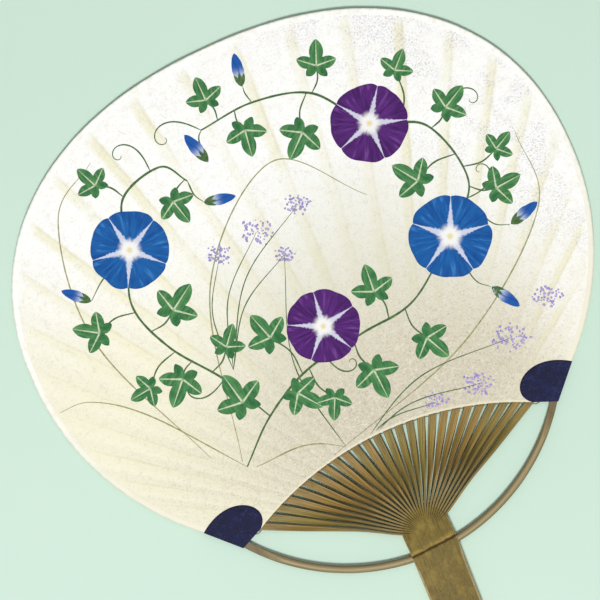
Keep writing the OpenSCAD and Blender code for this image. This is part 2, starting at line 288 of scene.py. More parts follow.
RIBS = range(1, RIB_COUNT + 1)
RIB_ANGLES = [rib_angle(i) for i in RIBS]
MEAN_RIB_TURN = (RIB_ANGLES[-1] - RIB_ANGLES[0]) / (RIB_COUNT - 1)


def rib_reach(i):
    """Length of a rib, square-ended inside the rim and short of the bow's tips."""
    direction = turned(rib_angle(i))
    side = Vector((direction.y, -direction.x)) * rib_width(i) / 2
    crossing = RIB_CENTRE + direction * arc_reach(direction, BOW_CENTRE, BOW_R)
    crossing_a = math.atan2(abs(crossing.x), BOW_CENTRE.y - crossing.y)
    stops = crossing_a < BOW_HALF_A + (RIB_OUTER_W + BOW_D + RIB_BOW_GAP) / BOW_R

    def may_reach(reach):
        corners = [RIB_CENTRE + reach * direction + sign * side for sign in (-1, 1)]
        clear = BOW_R - BOW_D / 2 - RIB_BOW_GAP
        inside = all(in_oval(p, RIB_END_GAP) for p in corners)
        return inside and not (stops and any((p - BOW_CENTRE).length >= clear for p in corners))

    return halve(may_reach, (rib_edge_point(i) - RIB_CENTRE).length + 1, HEAD_TOP)


# Lie of the paper over the ribs: it is glued down between them

SHEET_SINK = 0.34
SINK_SHARE = 0.15
LEAST_HALF_GAP = 0.3
RIPPLE = 0.05
RIPPLE_W, RIPPLE_LEN = 16, 26
FLAT_FROM = RIB_ANGLES[-3]
FLAT_TO = RIB_ANGLES[-1]


def smooth(value, low, high):
    """Eases from 0 at low to 1 at high."""
    t = min(max((value - low) / (high - low), 0), 1)
    return t * t * (3 - 2 * t)


def among_ribs(x, y):
    """A point's angle and distance from the ribs' centre, and the number of the rib before it."""
    a = turn_of(Vector((x, y)))
    return a, math.hypot(x, y - ROOT_Y), min(max(bisect.bisect(RIB_ANGLES, a), 1), RIB_COUNT - 1)


def rib_gap(x, y):
    """How far a point lies across the gap between two ribs (0 on a rib, 1 midway), and half the gap."""
    a, reach, k = among_ribs(x, y)
    left, right = RIB_ANGLES[k - 1], RIB_ANGLES[k]
    near = k if a - left < right - a else k + 1
    half_w = rib_width(near) / 2
    off = reach * math.sin(abs(a - RIB_ANGLES[near - 1]))
    half_gap = max(reach * math.sin((right - left) / 2) - half_w, LEAST_HALF_GAP)
    return min(max((off - half_w) / half_gap, 0), 1), half_gap


def paper_lift(x, y, face):
    """Height of a sheet's outer face from the middle of the fan. face is 1 in front and -1 behind."""
    across, half_gap = rib_gap(x, y)
    a = abs(turn_of(Vector((x, y))))
    depth = min(SHEET_SINK, 2 * SINK_SHARE * half_gap) * (1 - smooth(a, FLAT_FROM, FLAT_TO))
    sunk = depth * (1 - math.cos(math.pi * across)) / 2
    ripple = noise.noise(Vector((x / RIPPLE_W, y / RIPPLE_LEN, 7.3 * face)))
    return SHEET_OUT - sunk + RIPPLE * (1 + ripple) / 2


def front_z(x, y):
    return MID_Z + paper_lift(x, y, 1)


def back_z(x, y):
    return MID_Z - paper_lift(x, y, -1)


# Mesh making

MERGE_AT = 0.0005
SHARP = 35


class Plan:
    """Flat cells that share their corners, each corner with the values that a material reads."""

    def __init__(self):
        self.index = {}
        self.points = []
        self.data = []
        self.faces = []

    def corner(self, x, y, data=()):
        key = (round(x, 5), round(y, 5))
        if key not in self.index:
            self.index[key] = len(self.points)
            self.points.append((x, y))
            self.data.append(data)
        return self.index[key]

    def cell(self, corners):
        """Adds one face, anticlockwise, without its repeated corners."""
        face = [c for k, c in enumerate(corners) if c != corners[k - 1]]
        if len(face) < 3:
            return
        ring = [self.points[c] for c in face]
        area = sum(p[0] * q[1] - q[0] * p[1] for p, q in zip(ring, ring[1:] + ring[:1]))
        self.faces.append(face if area > 0 else face[::-1])

    def grid(self, rows):
        for low, high in zip(rows, rows[1:]):
            for a, b, c, d in zip(low, low[1:], high[1:], high):
                self.cell([a, b, c, d])


class Shape:
    """Points, faces and material values of a piece, in millimetres."""

    def __init__(self, values=()):
        self.points = []
        self.faces = []
        self.data = {name: [] for name in values}

    def point(self, place, data=()):
        self.points.append(place)
        for name, value in zip(self.data, data):
            self.data[name].append(value)
        return len(self.points) - 1

    def thicken(self, plan, top, bottom, wall_rows=1):
        """Adds the closed solid between two heights over a plan."""
        above, below = [
            [self.point((x, y, height(x, y)), data) for (x, y), data in zip(plan.points, plan.data)]
            for height in (top, bottom)]
        used = set()
        for face in plan.faces:
            self.faces.append([above[c] for c in face])
            self.faces.append([below[c] for c in reversed(face)])
            used.update(zip(face, face[1:] + face[:1]))
        walls = {}

        def column(c):
            if c not in walls:
                x, y = plan.points[c]
                high, low = top(x, y), bottom(x, y)
                between = [high + (low - high) * k / wall_rows for k in range(1, wall_rows)]
                walls[c] = [above[c], *[self.point((x, y, z), plan.data[c]) for z in between], below[c]]
            return walls[c]

        for a, b in used:
            if (b, a) not in used:
                left, right = column(a), column(b)
                for k in range(wall_rows):
                    self.faces.append([right[k], left[k], left[k + 1], right[k + 1]])

    def skin(self, rings, closed=True):
        """Adds the skin through rings of points. Closed rings make a tube with both its ends filled."""
        count = len(rings[0])
        for low, high in zip(rings, rings[1:]):
            for k in range(count if closed else count - 1):
                n = (k + 1) % count
                self.faces.append([low[k], low[n], high[n], high[k]])
        if closed:
            self.faces += [rings[0], rings[-1][::-1]]

    def piece(self, name, material, sharp=SHARP):
        """Makes the mesh object, with its doubles merged and its faces outwards."""
        mesh = bpy.data.meshes.new(name)
        mesh.from_pydata([Vector(p) * MM for p in self.points], [], self.faces)
        for key, values in self.data.items():
            mesh.attributes.new(key, "FLOAT", "POINT").data.foreach_set("value", values)
        made = bmesh.new()
        made.from_mesh(mesh)
        bmesh.ops.remove_doubles(made, verts=made.verts, dist=MERGE_AT * MM)
        bmesh.ops.dissolve_degenerate(made, edges=made.edges, dist=MERGE_AT * MM)
        bmesh.ops.recalc_face_normals(made, faces=made.faces)
        made.to_mesh(mesh)
        made.free()
        return finished(name, mesh, material, sharp)


def in_scene(name, data):
    thing = bpy.data.objects.new(name, data)
    bpy.context.scene.collection.objects.link(thing)
    return thing


def plain_mesh(host):
    """The mesh that an object's modifiers make of it. They are then removed."""
    bpy.context.view_layer.update()
    graph = bpy.context.evaluated_depsgraph_get()
    mesh = bpy.data.meshes.new_from_object(host.evaluated_get(graph))
    host.modifiers.clear()
    return mesh


def finished(name, mesh, material=None, sharp=SHARP):
    """Puts a mesh in the scene, smooth except at edges that turn by more than sharp degrees."""
    mesh.shade_smooth()
    mesh.set_sharp_from_angle(angle=math.radians(sharp))
    if material:
        mesh.materials.append(material)
    return in_scene(name, mesh)


def stands_for(piece, node):
    """Hides the part of the frame that a piece replaces."""
    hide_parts(node)


# Node building, for the finishes and for what repeats

class Value:
    """A number or colour that a node gives out. A sum written with it adds the node of each sign."""

    def __init__(self, nodes, socket):
        self.nodes = nodes
        self.socket = socket

    def __abs__(self):
        return self.nodes.maths("ABSOLUTE", self)


def sign_pair(operation):
    """The two readings of a sign between values: the value on its left, and on its right."""
    def left(self, other):
        return self.nodes.maths(operation, self, other)

    def right(self, other):
        return self.nodes.maths(operation, other, self)
    return left, right


for sign, operation in (("add", "ADD"), ("sub", "SUBTRACT"), ("mul", "MULTIPLY"),
                        ("truediv", "DIVIDE"), ("pow", "POWER")):
    for start, reading in zip(("__", "__r"), sign_pair(operation)):
        setattr(Value, start + sign + "__", reading)


class Nodes:
    """Adds nodes to a tree and joins them up."""

    def __init__(self, tree):
        self.tree = tree

    def add(self, kind, inputs=None, **settings):
        node = self.tree.nodes.new(kind)
        for key, value in settings.items():
            setattr(node, key, value)
        for key, value in (inputs or {}).items():
            self.feed(node.inputs[key], value)
        return node

    def feed(self, socket, value):
        if isinstance(value, Value):
            self.tree.links.new(value.socket, socket)
        else:
            socket.default_value = value

    def get(self, kind, inputs=None, output=0, **settings):
        return Value(self, self.add(kind, inputs, **settings).outputs[output])

    def maths(self, operation, *values):
        return self.get("ShaderNodeMath", dict(enumerate(values)), operation=operation)

    def vector(self, x=0.0, y=0.0, z=0.0):
        return self.get("ShaderNodeCombineXYZ", {"X": x, "Y": y, "Z": z})

    def parts(self, vector):
        apart = self.add("ShaderNodeSeparateXYZ", {"Vector": vector})
        return [Value(self, part) for part in apart.outputs]

    def distance(self, x, y):
        return self.maths("SQRT", x * x + y * y)

    def span(self, value, low, high, to_low=0.0, to_high=1.0):
        """Eases a value from one range to another, and holds it there."""
        inputs = {"Value": value, "From Min": low, "From Max": high, "To Min": to_low, "To Max": to_high}
        return self.get("ShaderNodeMapRange", inputs, interpolation_type="SMOOTHSTEP")

    def noise(self, vector, scale=1.0, detail=3.0, roughness=0.5):
        inputs = {"Vector": vector, "Scale": scale, "Detail": detail, "Roughness": roughness}
        return self.get("ShaderNodeTexNoise", inputs, "Fac")


class Finish(Nodes):
    """A material built round one shader, with patterns measured in millimetres."""

    def __init__(self, name):
        self.material = bpy.data.materials.new(name)
        self.material.use_nodes = True
        super().__init__(self.material.node_tree)
        self.shader = self.tree.nodes["Principled BSDF"]
        self.tone = None

    @functools.cached_property
    def place(self):
        """Position on the piece, in millimetres."""
        where = self.get("ShaderNodeTexCoord", output="Object")
        return self.get("ShaderNodeMapping", {"Vector": where, "Scale": (1 / MM,) * 3})

    def stretched(self, vector, scale, turn=0.0, shift=(0, 0, 0)):
        """A pattern's coordinates, turned about Z by degrees and then scaled."""
        inputs = {"Vector": vector, "Rotation": (0, 0, math.radians(turn))}
        around = self.get("ShaderNodeMapping", inputs)
        return self.get("ShaderNodeMapping", {"Vector": around, "Scale": scale, "Location": shift})

    def mottle(self, scale, detail=3, roughness=0.5, shift=(0, 0, 0)):
        """Uneven blotches over the piece. A scale of 1 makes them about a millimetre wide."""
        axes = scale if isinstance(scale, tuple) else (scale,) * 3
        return self.noise(self.stretched(self.place, axes, 0, shift), 1.0, detail, roughness)

    def value(self, name):
        return self.get("ShaderNodeAttribute", output="Fac", attribute_name=name)

    def blend(self, share, first, second):
        return self.get("ShaderNodeMix", {0: share, 6: first, 7: second}, 2, data_type="RGBA")

    def over(self, share, colour):
        """Lays a share of a colour over the tone so far."""
        self.tone = self.blend(share, self.tone, colour)

    def fine_line(self, vector, width, detail):
        """Thin wandering lines, where a noise passes through its middle value."""
        return self.span(abs(self.noise(vector, 1.0, detail) - 0.5), 0.0, width, 1.0, 0.0)

    def dressed(self, rough, height=None, depth=0.0, gloss=0.25, strength=1.0):
        """Ends the material. height raises the surface, by depth in millimetres at its fullest."""
        ends = {"Base Color": self.tone, "Roughness": rough, "Specular IOR Level": gloss}
        if height:
            bump = {"Height": height, "Distance": depth * MM, "Strength": strength}
            ends["Normal"] = self.get("ShaderNodeBump", bump)
        for key, value in ends.items():
            self.feed(self.shader.inputs[key], value)
        return self.material


def ink(red, green, blue):
    """A colour as it looks on a screen, from 0 to 255, turned to scene values."""
    def linear(level):
        c = level / 255
        return c / 12.92 if c <= 0.04045 else ((c + 0.055) / 1.055) ** 2.4
    return (linear(red), linear(green), linear(blue), 1.0)


# Finishes

# What each mesh tells its finish: places on the ribs and edges in millimetres, and on a painted form
SHEET_VALUES = ("rib_place", "reach", "rim_distance", "edge_distance")
PAINT_VALUES = ("local_x", "local_y")

# The painted shade over the middle of the sheets, greyer there
CLOUD_X, CLOUD_Y, CLOUD_R = 15.0, 92.0, 70.0


def washi_finish(name, white, cream, shade, speckle):
    """Handmade paper with long fibres, darker where a rib lies behind it."""
    f = Finish(name)
    x, y, _ = f.parts(f.place)
    rib_place, reach, rim_distance, edge_distance = [f.value(key) for key in SHEET_VALUES]
    # Painted light and shade: white at the top and cream towards the handle
    broad = f.mottle(0.012, 3)
    painted_light_share = f.span(x * 0.0038 + y * 0.0082 + broad, 0.95, 1.85)
    f.tone = f.blend(painted_light_share, cream, white)
    soft = f.mottle(0.25, 5, 0.62)
    f.over(f.span(soft, 0.45, 0.75, 0.0, 0.3), cream)
    # Yellow streaks over the ribs, each with a firmer edge on one side
    rib_number = f.maths("ROUND", rib_place)
    off = (rib_place - rib_number) * reach * MEAN_RIB_TURN
    wander = f.noise(f.vector(reach * 0.05, rib_number), detail=2)
    off += (wander - 0.5) * 1.6
    ragged = (f.noise(f.place, detail=4, roughness=0.7) - 0.5) * 3.6
    streak = f.span(abs(off) + ragged, 0.4, 3.2, 1.0, 0.0)
    firm = f.span(abs(off - 1.4) + ragged * 0.5, 0.1, 0.9, 1.0, 0.0)
    patch = f.noise(f.vector(reach * 0.022, rib_number * 3.1), detail=3)
    strength = f.span(patch, 0.3, 0.66, 0.2, 1.0)
    strength *= f.span(soft, 0.25, 0.6, 0.6, 1.0)
    strength *= f.span(rim_distance, 1.5, 9.0)
    f.over(streak * strength, shade)
    f.over(firm * strength * 0.5, ink(222, 215, 182))
    # Painted shade, greyer towards the lower edge, and the paper's own grain, coarser there
    from_painted_shade = f.distance((x - CLOUD_X) / CLOUD_R, (y - CLOUD_Y) / CLOUD_R) + (broad - 0.5) * 0.6
    f.over(f.span(from_painted_shade, 0.4, 1.35, 0.72, 0.0), ink(220, 218, 196))
    near_edge = f.span(edge_distance, 4.0, 84.0, 1.0, 0.0)
    near_edge *= f.span(x, -75.0, 5.0, 0.5, 1.0)
    near_edge *= f.span(x, 62.0, 104.0, 1.0, 0.35)
    near_edge *= f.span(rim_distance, 2.0, 30.0, 0.45, 1.0)
    grain = f.mottle(1.5, 5, 0.7)
    # Painted shade near the lower edge; the grain and pulp after it are the paper's own
    f.over(near_edge * 0.9, ink(213, 205, 185))
    grit = 0.12 + near_edge * 0.6
    f.over(f.span(grain, 0.48, 0.68) * grit, ink(182, 171, 144))
    pulp = f.mottle(0.75, 4, 0.68)
    f.over(f.span(pulp, 0.5, 0.72) * grit, ink(184, 176, 148))
    f.over(f.span(pulp, 0.3, 0.48, 1.0, 0.0) * grit, ink(238, 233, 217))
    # Long fibres in three directions
    lifted = f.vector(x, y, f.mottle(0.06, 2) * 9.0)
    fibres = None
    for turn_deg, width, shift in ((18, 0.016, 0.0), (79, 0.013, 37.0), (141, 0.014, 91.0)):
        path = f.stretched(lifted, (0.5, 0.075, 0.2), turn_deg, (shift, 0, 0))
        line = f.fine_line(path, width, 1.5)
        line *= f.span(f.mottle(0.3, 2, shift=(shift, 5, 0)), 0.5, 0.62)
        fibres = line if fibres is None else f.maths("MAXIMUM", fibres, line)
    f.over(fibres * 0.34, ink(204, 196, 170))
    # Violet-grey specks towards one shoulder
    corner = f.span(x * 0.9 + y * 0.5, 116.0, 168.0) * speckle
    dots = f.span(f.mottle(1.25, 3, 0.65), 0.48, 0.66)
    clump = f.span(f.mottle(0.05, 5, 0.7), 0.46, 0.56)
    f.over(dots * clump * corner * 0.62, ink(176, 174, 188))
    # A pale line along the lower edge, and a darker hairline at the rim
    f.over(f.span(edge_distance, 0.3, 1.3, 0.8, 0.0), ink(240, 232, 206))
    f.over(f.span(rim_distance, 0.0, 0.7, 0.35, 0.0), ink(206, 196, 160))
    height = grain * 0.55 + fibres * 0.6 + soft * 0.7
    return f.dressed(f.span(grain, 0.3, 0.7, 0.78, 0.95), height, depth=0.09, strength=0.8)


def rim_finish():
    """The thin strip pasted round the head's edge, a little yellower than the sheets."""
    f = Finish("rim_strip_paper")
    mottle = f.mottle(0.35, 4)
    grain = f.mottle(2.2, 3, 0.6)
    worn = f.span(f.value("fold"), 0.72, 1.0)
    _, y, _ = f.parts(f.place)
    # Painted light and shade: whiter towards the top and creamier lower down, as on the sheets
    f.tone = f.blend(f.span(y, 60.0, 170.0), ink(240, 236, 216), ink(255, 255, 251))
    f.over(f.span(mottle, 0.45, 0.7, 0.0, 0.6), ink(240, 236, 218))
    f.over(worn * f.span(mottle, 0.3, 0.6, 0.3, 0.7), ink(196, 196, 176))
    return f.dressed(f.span(grain, 0.3, 0.7, 0.7, 0.9), grain + mottle, depth=0.05)


def navy_finish():
    """Dark dyed paper of the ears, creased and worn paler on its high spots."""
    f = Finish("navy_ear_paper")
    cloud = f.mottle(0.16, 4, 0.6)
    grain = f.mottle(1.5, 5, 0.7)
    crease = f.fine_line(f.stretched(f.place, (0.13, 0.2, 0.2), 24), 0.035, 3.0)
    second = f.fine_line(f.stretched(f.place, (0.21, 0.12, 0.2), 71, (40, 0, 0)), 0.028, 3.0)
    worn = f.maths("MAXIMUM", crease, second) * f.span(grain, 0.35, 0.6)
    f.tone = f.blend(f.span(cloud, 0.3, 0.7), ink(20, 22, 50), ink(36, 40, 76))
    f.over(f.span(grain, 0.5, 0.75, 0.0, 0.45), ink(50, 54, 96))
    f.over(worn * 0.35, ink(74, 78, 122))
    f.over(f.span(f.value("edge_distance"), 0.0, 1.1, 0.75, 0.0), ink(16, 16, 36))
    height = worn * 0.8 + grain * 0.6 + cloud
    return f.dressed(f.span(cloud, 0.3, 0.7, 0.6, 0.8), height, depth=0.12, gloss=0.15)


def rib_finish():
    """Split bamboo, straight-grained, each rib of its own tan."""
    f = Finish("split_bamboo_ribs")
    along, across, tint = f.value("along"), f.value("across"), f.value("tint")
    grain = f.noise(f.vector(along * 0.035, across * 4.2, tint * 61.0), detail=5, roughness=0.65)
    fleck = f.noise(f.vector(along * 0.3, across * 7.0, tint * 23.0), detail=3, roughness=0.6)
    fleck = f.span(fleck, 0.6, 0.72)
    blotch = f.noise(f.vector(along * 0.06, tint * 97.0), detail=3)
    light = f.blend(f.span(tint, 0.2, 0.8), ink(172, 150, 80), ink(180, 147, 80))
    dark = f.blend(f.span(tint, 0.3, 0.7), ink(88, 74, 28), ink(98, 76, 32))
    f.tone = f.blend(f.span(grain, 0.3, 0.72), dark, light)
    f.over(f.span(blotch, 0.45, 0.75, 0.0, 0.45), ink(106, 90, 42))
    f.over(fleck * 0.6, ink(78, 56, 26))
    # Painted highlight along the edges of each rib's face, and painted shade on its sides
    edge = f.span(abs(across), 1.1, 1.5, 0.0, 0.55)
    f.over(edge * f.span(along, 22.0, 44.0, 0.25, 1.0), ink(184, 166, 112))
    f.over(f.span(abs(across), 1.38, 1.6) * f.span(along, 18.0, 40.0), ink(62, 47, 20))
    # The roots keep the darker skin of the neck
    f.over(f.span(along, 11.0, 26.0, 0.7, 0.0), ink(112, 97, 50))
    return f.dressed(f.span(grain, 0.3, 0.7, 0.42, 0.6), grain + fleck * -0.5, depth=0.08, gloss=0.28)


def handle_finish():
    """Bamboo stick with its node: lengthwise fibres, a dark scar, and a painted highlight on the lip
    above it.
    """
    f = Finish("bamboo_handle_skin")
    x, y, z = f.parts(f.place)
    leaning = x - f.maths("MINIMUM", y, 0.0) * math.tan(HANDLE_LEAN)
    grain = f.noise(f.vector(leaning * 1.5, y * 0.022, z * 1.5), detail=5, roughness=0.62)
    fibre = f.noise(f.vector(leaning * 5.5, y * 0.11, z * 5.5), detail=4, roughness=0.7)
    fleck = f.span(f.noise(f.vector(leaning * 4.0, y * 0.35, z), detail=2), 0.64, 0.74)
    cloud = f.mottle((0.09, 0.035, 0.09), 3)
    f.tone = f.blend(f.span(grain, 0.28, 0.72), ink(88, 73, 22), ink(130, 110, 46))
    f.over(f.span(cloud, 0.4, 0.68, 0.0, 0.75), ink(110, 92, 32))
    f.over(f.span(fibre, 0.55, 0.8, 0.0, 0.32), ink(78, 61, 22))
    f.over(f.span(cloud, 0.42, 0.6) * f.span(y, -2.0, 4.0, 0.0, 0.5), ink(138, 119, 50))
    f.over(fleck * 0.5, ink(70, 52, 26))
    f.over(f.value("bevel") * f.span(fibre, 0.3, 0.6, 0.5, 0.95), ink(190, 174, 130))
    patchy = f.mottle(0.5, 3)
    blotch = f.mottle((0.24, 0.16, 0.24), 4, 0.6)
    f.over(f.span(blotch, 0.46, 0.66, 0.0, 0.55), ink(148, 126, 52))
    # Painted highlight on the raised lip above the scar
    f.over(f.value("lip") * f.span(patchy, 0.35, 0.6, 0.25, 0.9), ink(166, 142, 66))
    mottle = f.mottle((1.1, 0.7, 1.1), 4, 0.7)
    f.over(f.span(mottle, 0.5, 0.72, 0.0, 0.45), ink(84, 72, 32))
    f.over(f.span(mottle, 0.28, 0.46, 0.4, 0.0), ink(148, 131, 74))
    f.over(f.value("scar"), f.blend(patchy, ink(40, 26, 14), ink(74, 52, 26)))
    f.over(f.value("slit"), ink(58, 42, 22))
    height = fibre * 0.5 + grain - fleck * 0.5
    return f.dressed(f.span(grain, 0.3, 0.7, 0.36, 0.52), height, depth=0.09, gloss=0.18)


def bow_finish():
    """Round-shaved bamboo rod, pinkish tan with fine lengthwise lines."""
    f = Finish("shaved_bamboo_bow")
    along, around = f.value("along"), f.value("around")
    circle_x, circle_y = f.maths("COSINE", around), f.maths("SINE", around)
    grain = f.noise(f.vector(circle_x * 4.5, circle_y * 4.5, along * 0.05), detail=5, roughness=0.65)
    cloud = f.noise(f.vector(circle_x, circle_y, along * 0.045), detail=3)
    fleck = f.span(f.noise(f.vector(circle_x * 7.0, circle_y * 7.0, along * 0.35), detail=2), 0.63, 0.74)
    f.tone = f.blend(f.span(grain, 0.28, 0.72), ink(114, 99, 64), ink(160, 144, 104))
    f.over(f.span(cloud, 0.4, 0.7, 0.0, 0.55), ink(146, 129, 92))
    f.over(fleck * 0.5, ink(104, 84, 52))
    # Painted shade on the rounded sides and a painted highlight along the top, which give the rod its
    # round look
    _, _, z = f.parts(f.place)
    rise = (z - MID_Z) / (BOW_D / 2)
    f.over(f.span(abs(rise), 0.2, 0.85, 0.75, 0.0), ink(98, 82, 50))
    f.over(f.span(rise, 0.8, 0.99, 0.0, 0.45), ink(176, 161, 122))
    return f.dressed(f.span(grain, 0.3, 0.7, 0.34, 0.5), grain - fleck * 0.4, depth=0.07, gloss=0.28)


def thread_finish():
    """Twisted two-ply thread, the colour of undyed hemp."""
    f = Finish("hemp_thread")
    along, around = f.value("along"), f.value("around")
    ply = f.maths("SINE", along * 5.2 + around * 2.0)
    hair = f.noise(f.vector(along * 3.0, around), scale=3.0, detail=3)
    # Painted shade in the grooves of the twist, darker than the undyed hemp between them
    f.tone = f.blend(f.span(ply, -1.0, 0.6), ink(94, 78, 50), ink(168, 152, 112))
    f.over(f.span(hair, 0.5, 0.75, 0.0, 0.5), ink(190, 178, 144))
    return f.dressed(f.span(hair, 0.3, 0.7, 0.75, 0.95), ply, depth=0.06, gloss=0.2)


def petal_finish(name, deep, bright, vein):
    """Body colour brushed from the rim inwards, with a pale star and throat."""
    f = Finish(name)
    u, v = [f.value(key) for key in PAINT_VALUES]
    reach = f.distance(u, v)
    turn = f.maths("ARCTAN2", v, u)
    # Distance across to the nearest of five rays
    off_ray = f.maths("PINGPONG", turn + 2 * math.pi, math.pi / 5) * reach
    rough_edge = f.mottle(0.9, 4)
    sweep = f.vector(f.maths("COSINE", turn) * 9.0, f.maths("SINE", turn) * 9.0, reach * 1.6)
    brush = f.noise(sweep, detail=4, roughness=0.6)
    ray_width = f.span(reach, 0.15, 0.97, 0.085, 0.006) * f.span(rough_edge, 0.3, 0.7, 0.7, 1.25)
    ray = 1.0 - f.span(off_ray / ray_width, 0.55, 1.25)
    wobble = reach + (brush - 0.5) * 0.16
    f.tone = f.blend(f.span(brush, 0.3, 0.7), deep, bright)
    f.over(f.span(f.mottle(0.14, 3), 0.4, 0.7, 0.0, 0.5), bright)
    lines = f.span(brush, 0.56, 0.64) * f.span(reach, 0.3, 0.8)
    f.over(lines * 0.55, vein)
    f.over(f.span(wobble, 0.9, 1.02) * 0.5, deep)
    f.over(ray * 0.8, ink(226, 229, 242))
    f.over(f.span(wobble, 0.14, 0.34, 1.0, 0.0), ink(244, 243, 240))
    f.over(f.span(wobble, 0.03, 0.1, 0.75, 0.0), ink(228, 214, 130))
    return f.dressed(0.82, rough_edge + brush, depth=0.05)


def leaf_finish(name, deep, bright):
    """Brushed green with paler veins left between the strokes."""
    f = Finish(name)
    u, v = [f.value(key) for key in PAINT_VALUES]
    brush = f.noise(f.vector(u * 1.5, v * 6.0), detail=4, roughness=0.6)
    grain = f.mottle(1.6, 3, 0.6)
    f.tone = f.blend(f.span(brush, 0.3, 0.7), deep, bright)
    f.over(f.span(f.mottle(0.2, 3), 0.45, 0.75, 0.0, 0.6), deep)
    f.over(f.span(grain, 0.6, 0.8, 0.0, 0.4), ink(186, 202, 160))
    # One vein down each lobe, left unpainted
    veins = None
    for lobe in (0, 1.25, -1.25):
        along = u * math.cos(lobe) + v * math.sin(lobe)
        off = v * math.cos(lobe) - u * math.sin(lobe)
        narrow = 0.034 - along * 0.03
        line = f.span(abs(off) - narrow, -0.012, 0.012, 1.0, 0.0) * f.span(along, -0.05, 0.08)
        veins = line if veins is None else f.maths("MAXIMUM", veins, line)
    f.over(veins * f.span(grain, 0.3, 0.55, 0.45, 0.95), ink(214, 222, 190))
    return f.dressed(0.82, grain, depth=0.04)


def bud_finish():
    """A furled bud, white at its foot and deepening to blue at the tip."""
    f = Finish("bud_blue_paint")
    u, v = [f.value(key) for key in PAINT_VALUES]
    brush = f.noise(f.vector(u * 1.6, v * 9.0), detail=3)
    f.tone = f.blend(f.span(u + brush * 0.5, -0.55, 0.55), ink(222, 232, 244), ink(28, 88, 168))
    f.over(f.span(abs(v - u * 0.22), 0.015, 0.05, 0.6, 0.0), ink(20, 60, 130))
    return f.dressed(0.82, f.mottle(1.6), depth=0.04)


def flat_paint_finish(name, deep, bright):
    """A thin wash, uneven as it dries into the paper."""
    f = Finish(name)
    wash = f.mottle(0.6, 4, 0.6)
    f.tone = f.blend(f.span(wash, 0.3, 0.7), deep, bright)
    return f.dressed(f.span(wash, 0.3, 0.7, 0.8, 0.9), wash, depth=0.03)


# Sheets, rim and ears

GAP_COLUMNS = 12
SHEET_ROWS = 76
EDGE_CROWDING = 0.45


def evenly(start, end, count):
    """The first count of count + 1 equal steps from start to end."""
    return [start + (end - start) * k / count for k in range(count)]


def sheet_turns():
    """Angles of the sheets' columns: close between the ribs, and at the ears' corners."""
    right = [a for low, high in zip(RIB_ANGLES, RIB_ANGLES[1:]) for a in evenly(low, high, GAP_COLUMNS)]
    outer = [RIB_ANGLES[-1], turn_of(PAPER_CORNER), turn_of(EAR_CORNER), turn_of(EAR_TIP)]
    last = [a for low, high, count in zip(outer, outer[1:], (3, 4, 12)) for a in evenly(low, high, count)]
    last.append(outer[-1])
    return [-a for a in reversed(last[1:])] + right + last


def outline_distance(p):
    """Rough distance from the head's outline, measured towards the middle of the head."""
    size, power = oval_size(p)
    scale = size ** (1 / power)
    return (p - Vector((0, WIDEST_Y))).length * (1 / scale - 1) if scale > 0 else HEAD_HALF_W


def sheet_data(p):
    """What the paper's finish needs to know at a point."""
    a, reach, k = among_ribs(p.x, p.y)
    place = k + (a - RIB_ANGLES[k - 1]) / (RIB_ANGLES[k] - RIB_ANGLES[k - 1])
    return place, reach, max(outline_distance(p), 0), (p - PAPER_ARC).length - PAPER_ARC_R


def sheet_plan():
    plan = Plan()
    steps = [k / SHEET_ROWS for k in range(SHEET_ROWS + 1)]
    steps = [t - EDGE_CROWDING * math.sin(2 * math.pi * t) / (2 * math.pi) for t in steps]
    rows = [[] for _ in steps]
    for a in sheet_turns():
        start, end = paper_start(a), paper_end(a)
        for row, t in zip(rows, steps):
            p = RIB_CENTRE + (start + t * (end - start)) * turned(a)
            row.append(plan.corner(p.x, p.y, sheet_data(p)))
    plan.grid(rows)
    return plan


def make_sheets(front_finish, back_finish):
    plan = sheet_plan()
    for side, finish, top, bottom in (
            ("front", front_finish, front_z, lambda x, y: front_z(x, y) - PAPER_T),
            ("back", back_finish, lambda x, y: back_z(x, y) + PAPER_T, back_z)):
        shape = Shape(SHEET_VALUES)
        shape.thicken(plan, top, bottom)
        stands_for(shape.piece(f"washi_{side}_sheet", finish), f"{side}_paper")


RIM_STEPS = 420


def rim_section(outer, inward):
    """The folded strip's section at one place of the oval, as (inset, height) pairs."""
    insets = [RIM_W, RIM_W * 0.66, RIM_W * 0.33, RIM_T * 2]
    top = [(inset, front_z(*(outer + inward * inset)) + RIM_T) for inset in insets]
    bottom = [(inset, back_z(*(outer + inward * inset)) - RIM_T) for inset in reversed(insets)]
    high, low = top[-1][1], bottom[0][1]
    middle, half = (high + low) / 2, (high - low) / 2
    fold = [(RIM_T * (0.2 - math.cos(t)), middle + half * math.sin(t))
            for t in (0.9, 0.5, 0, -0.5, -0.9)]
    outside = top + fold + bottom
    inside = [(max(inset, RIM_T * 0.1), z + (RIM_T * 0.9 if z < middle else -RIM_T * 0.9))
              for inset, z in outside]
    return outside + inside[::-1]


def make_rim(finish):
    """The strip folded over the head's edge, from ear to ear."""
    end_a = EAR_CORNER_A - RIM_EAR_GAP / HEAD_HALF_W
    shape = Shape(("fold",))
    rings = []
    for k in range(RIM_STEPS + 1):
        a = math.pi / 2 + (math.pi / 2 + end_a) * (2 * k / RIM_STEPS - 1)
        outer = oval_point(a)
        inward = (oval_point(a, RIM_W) - outer) / RIM_W
        ring = []
        for inset, z in rim_section(outer, inward):
            p = outer + inward * inset
            ring.append(shape.point((p.x, p.y, z), (1 - min(max(inset, 0) / RIM_W, 1),)))
        rings.append(ring)
    shape.skin(rings)
    stands_for(shape.piece("rim_strip", finish), "rim_binding")


EAR_COLUMNS = 44
EAR_ROWS = 18
FOLD_ROWS = 7
EAR_WRINKLE = 0.05
EAR_WRINKLE_LEN = 5
EAR_SKIN_T = 0.2
EAR_EDGE_REACH = 9.0
EAR_FOLD_EDGE = 6.0
EAR_MOUTH = (EAR_TIP - PAPER_CORNER).length
EAR_BASE = EAR_MOUTH + EAR_FOLD_LEN


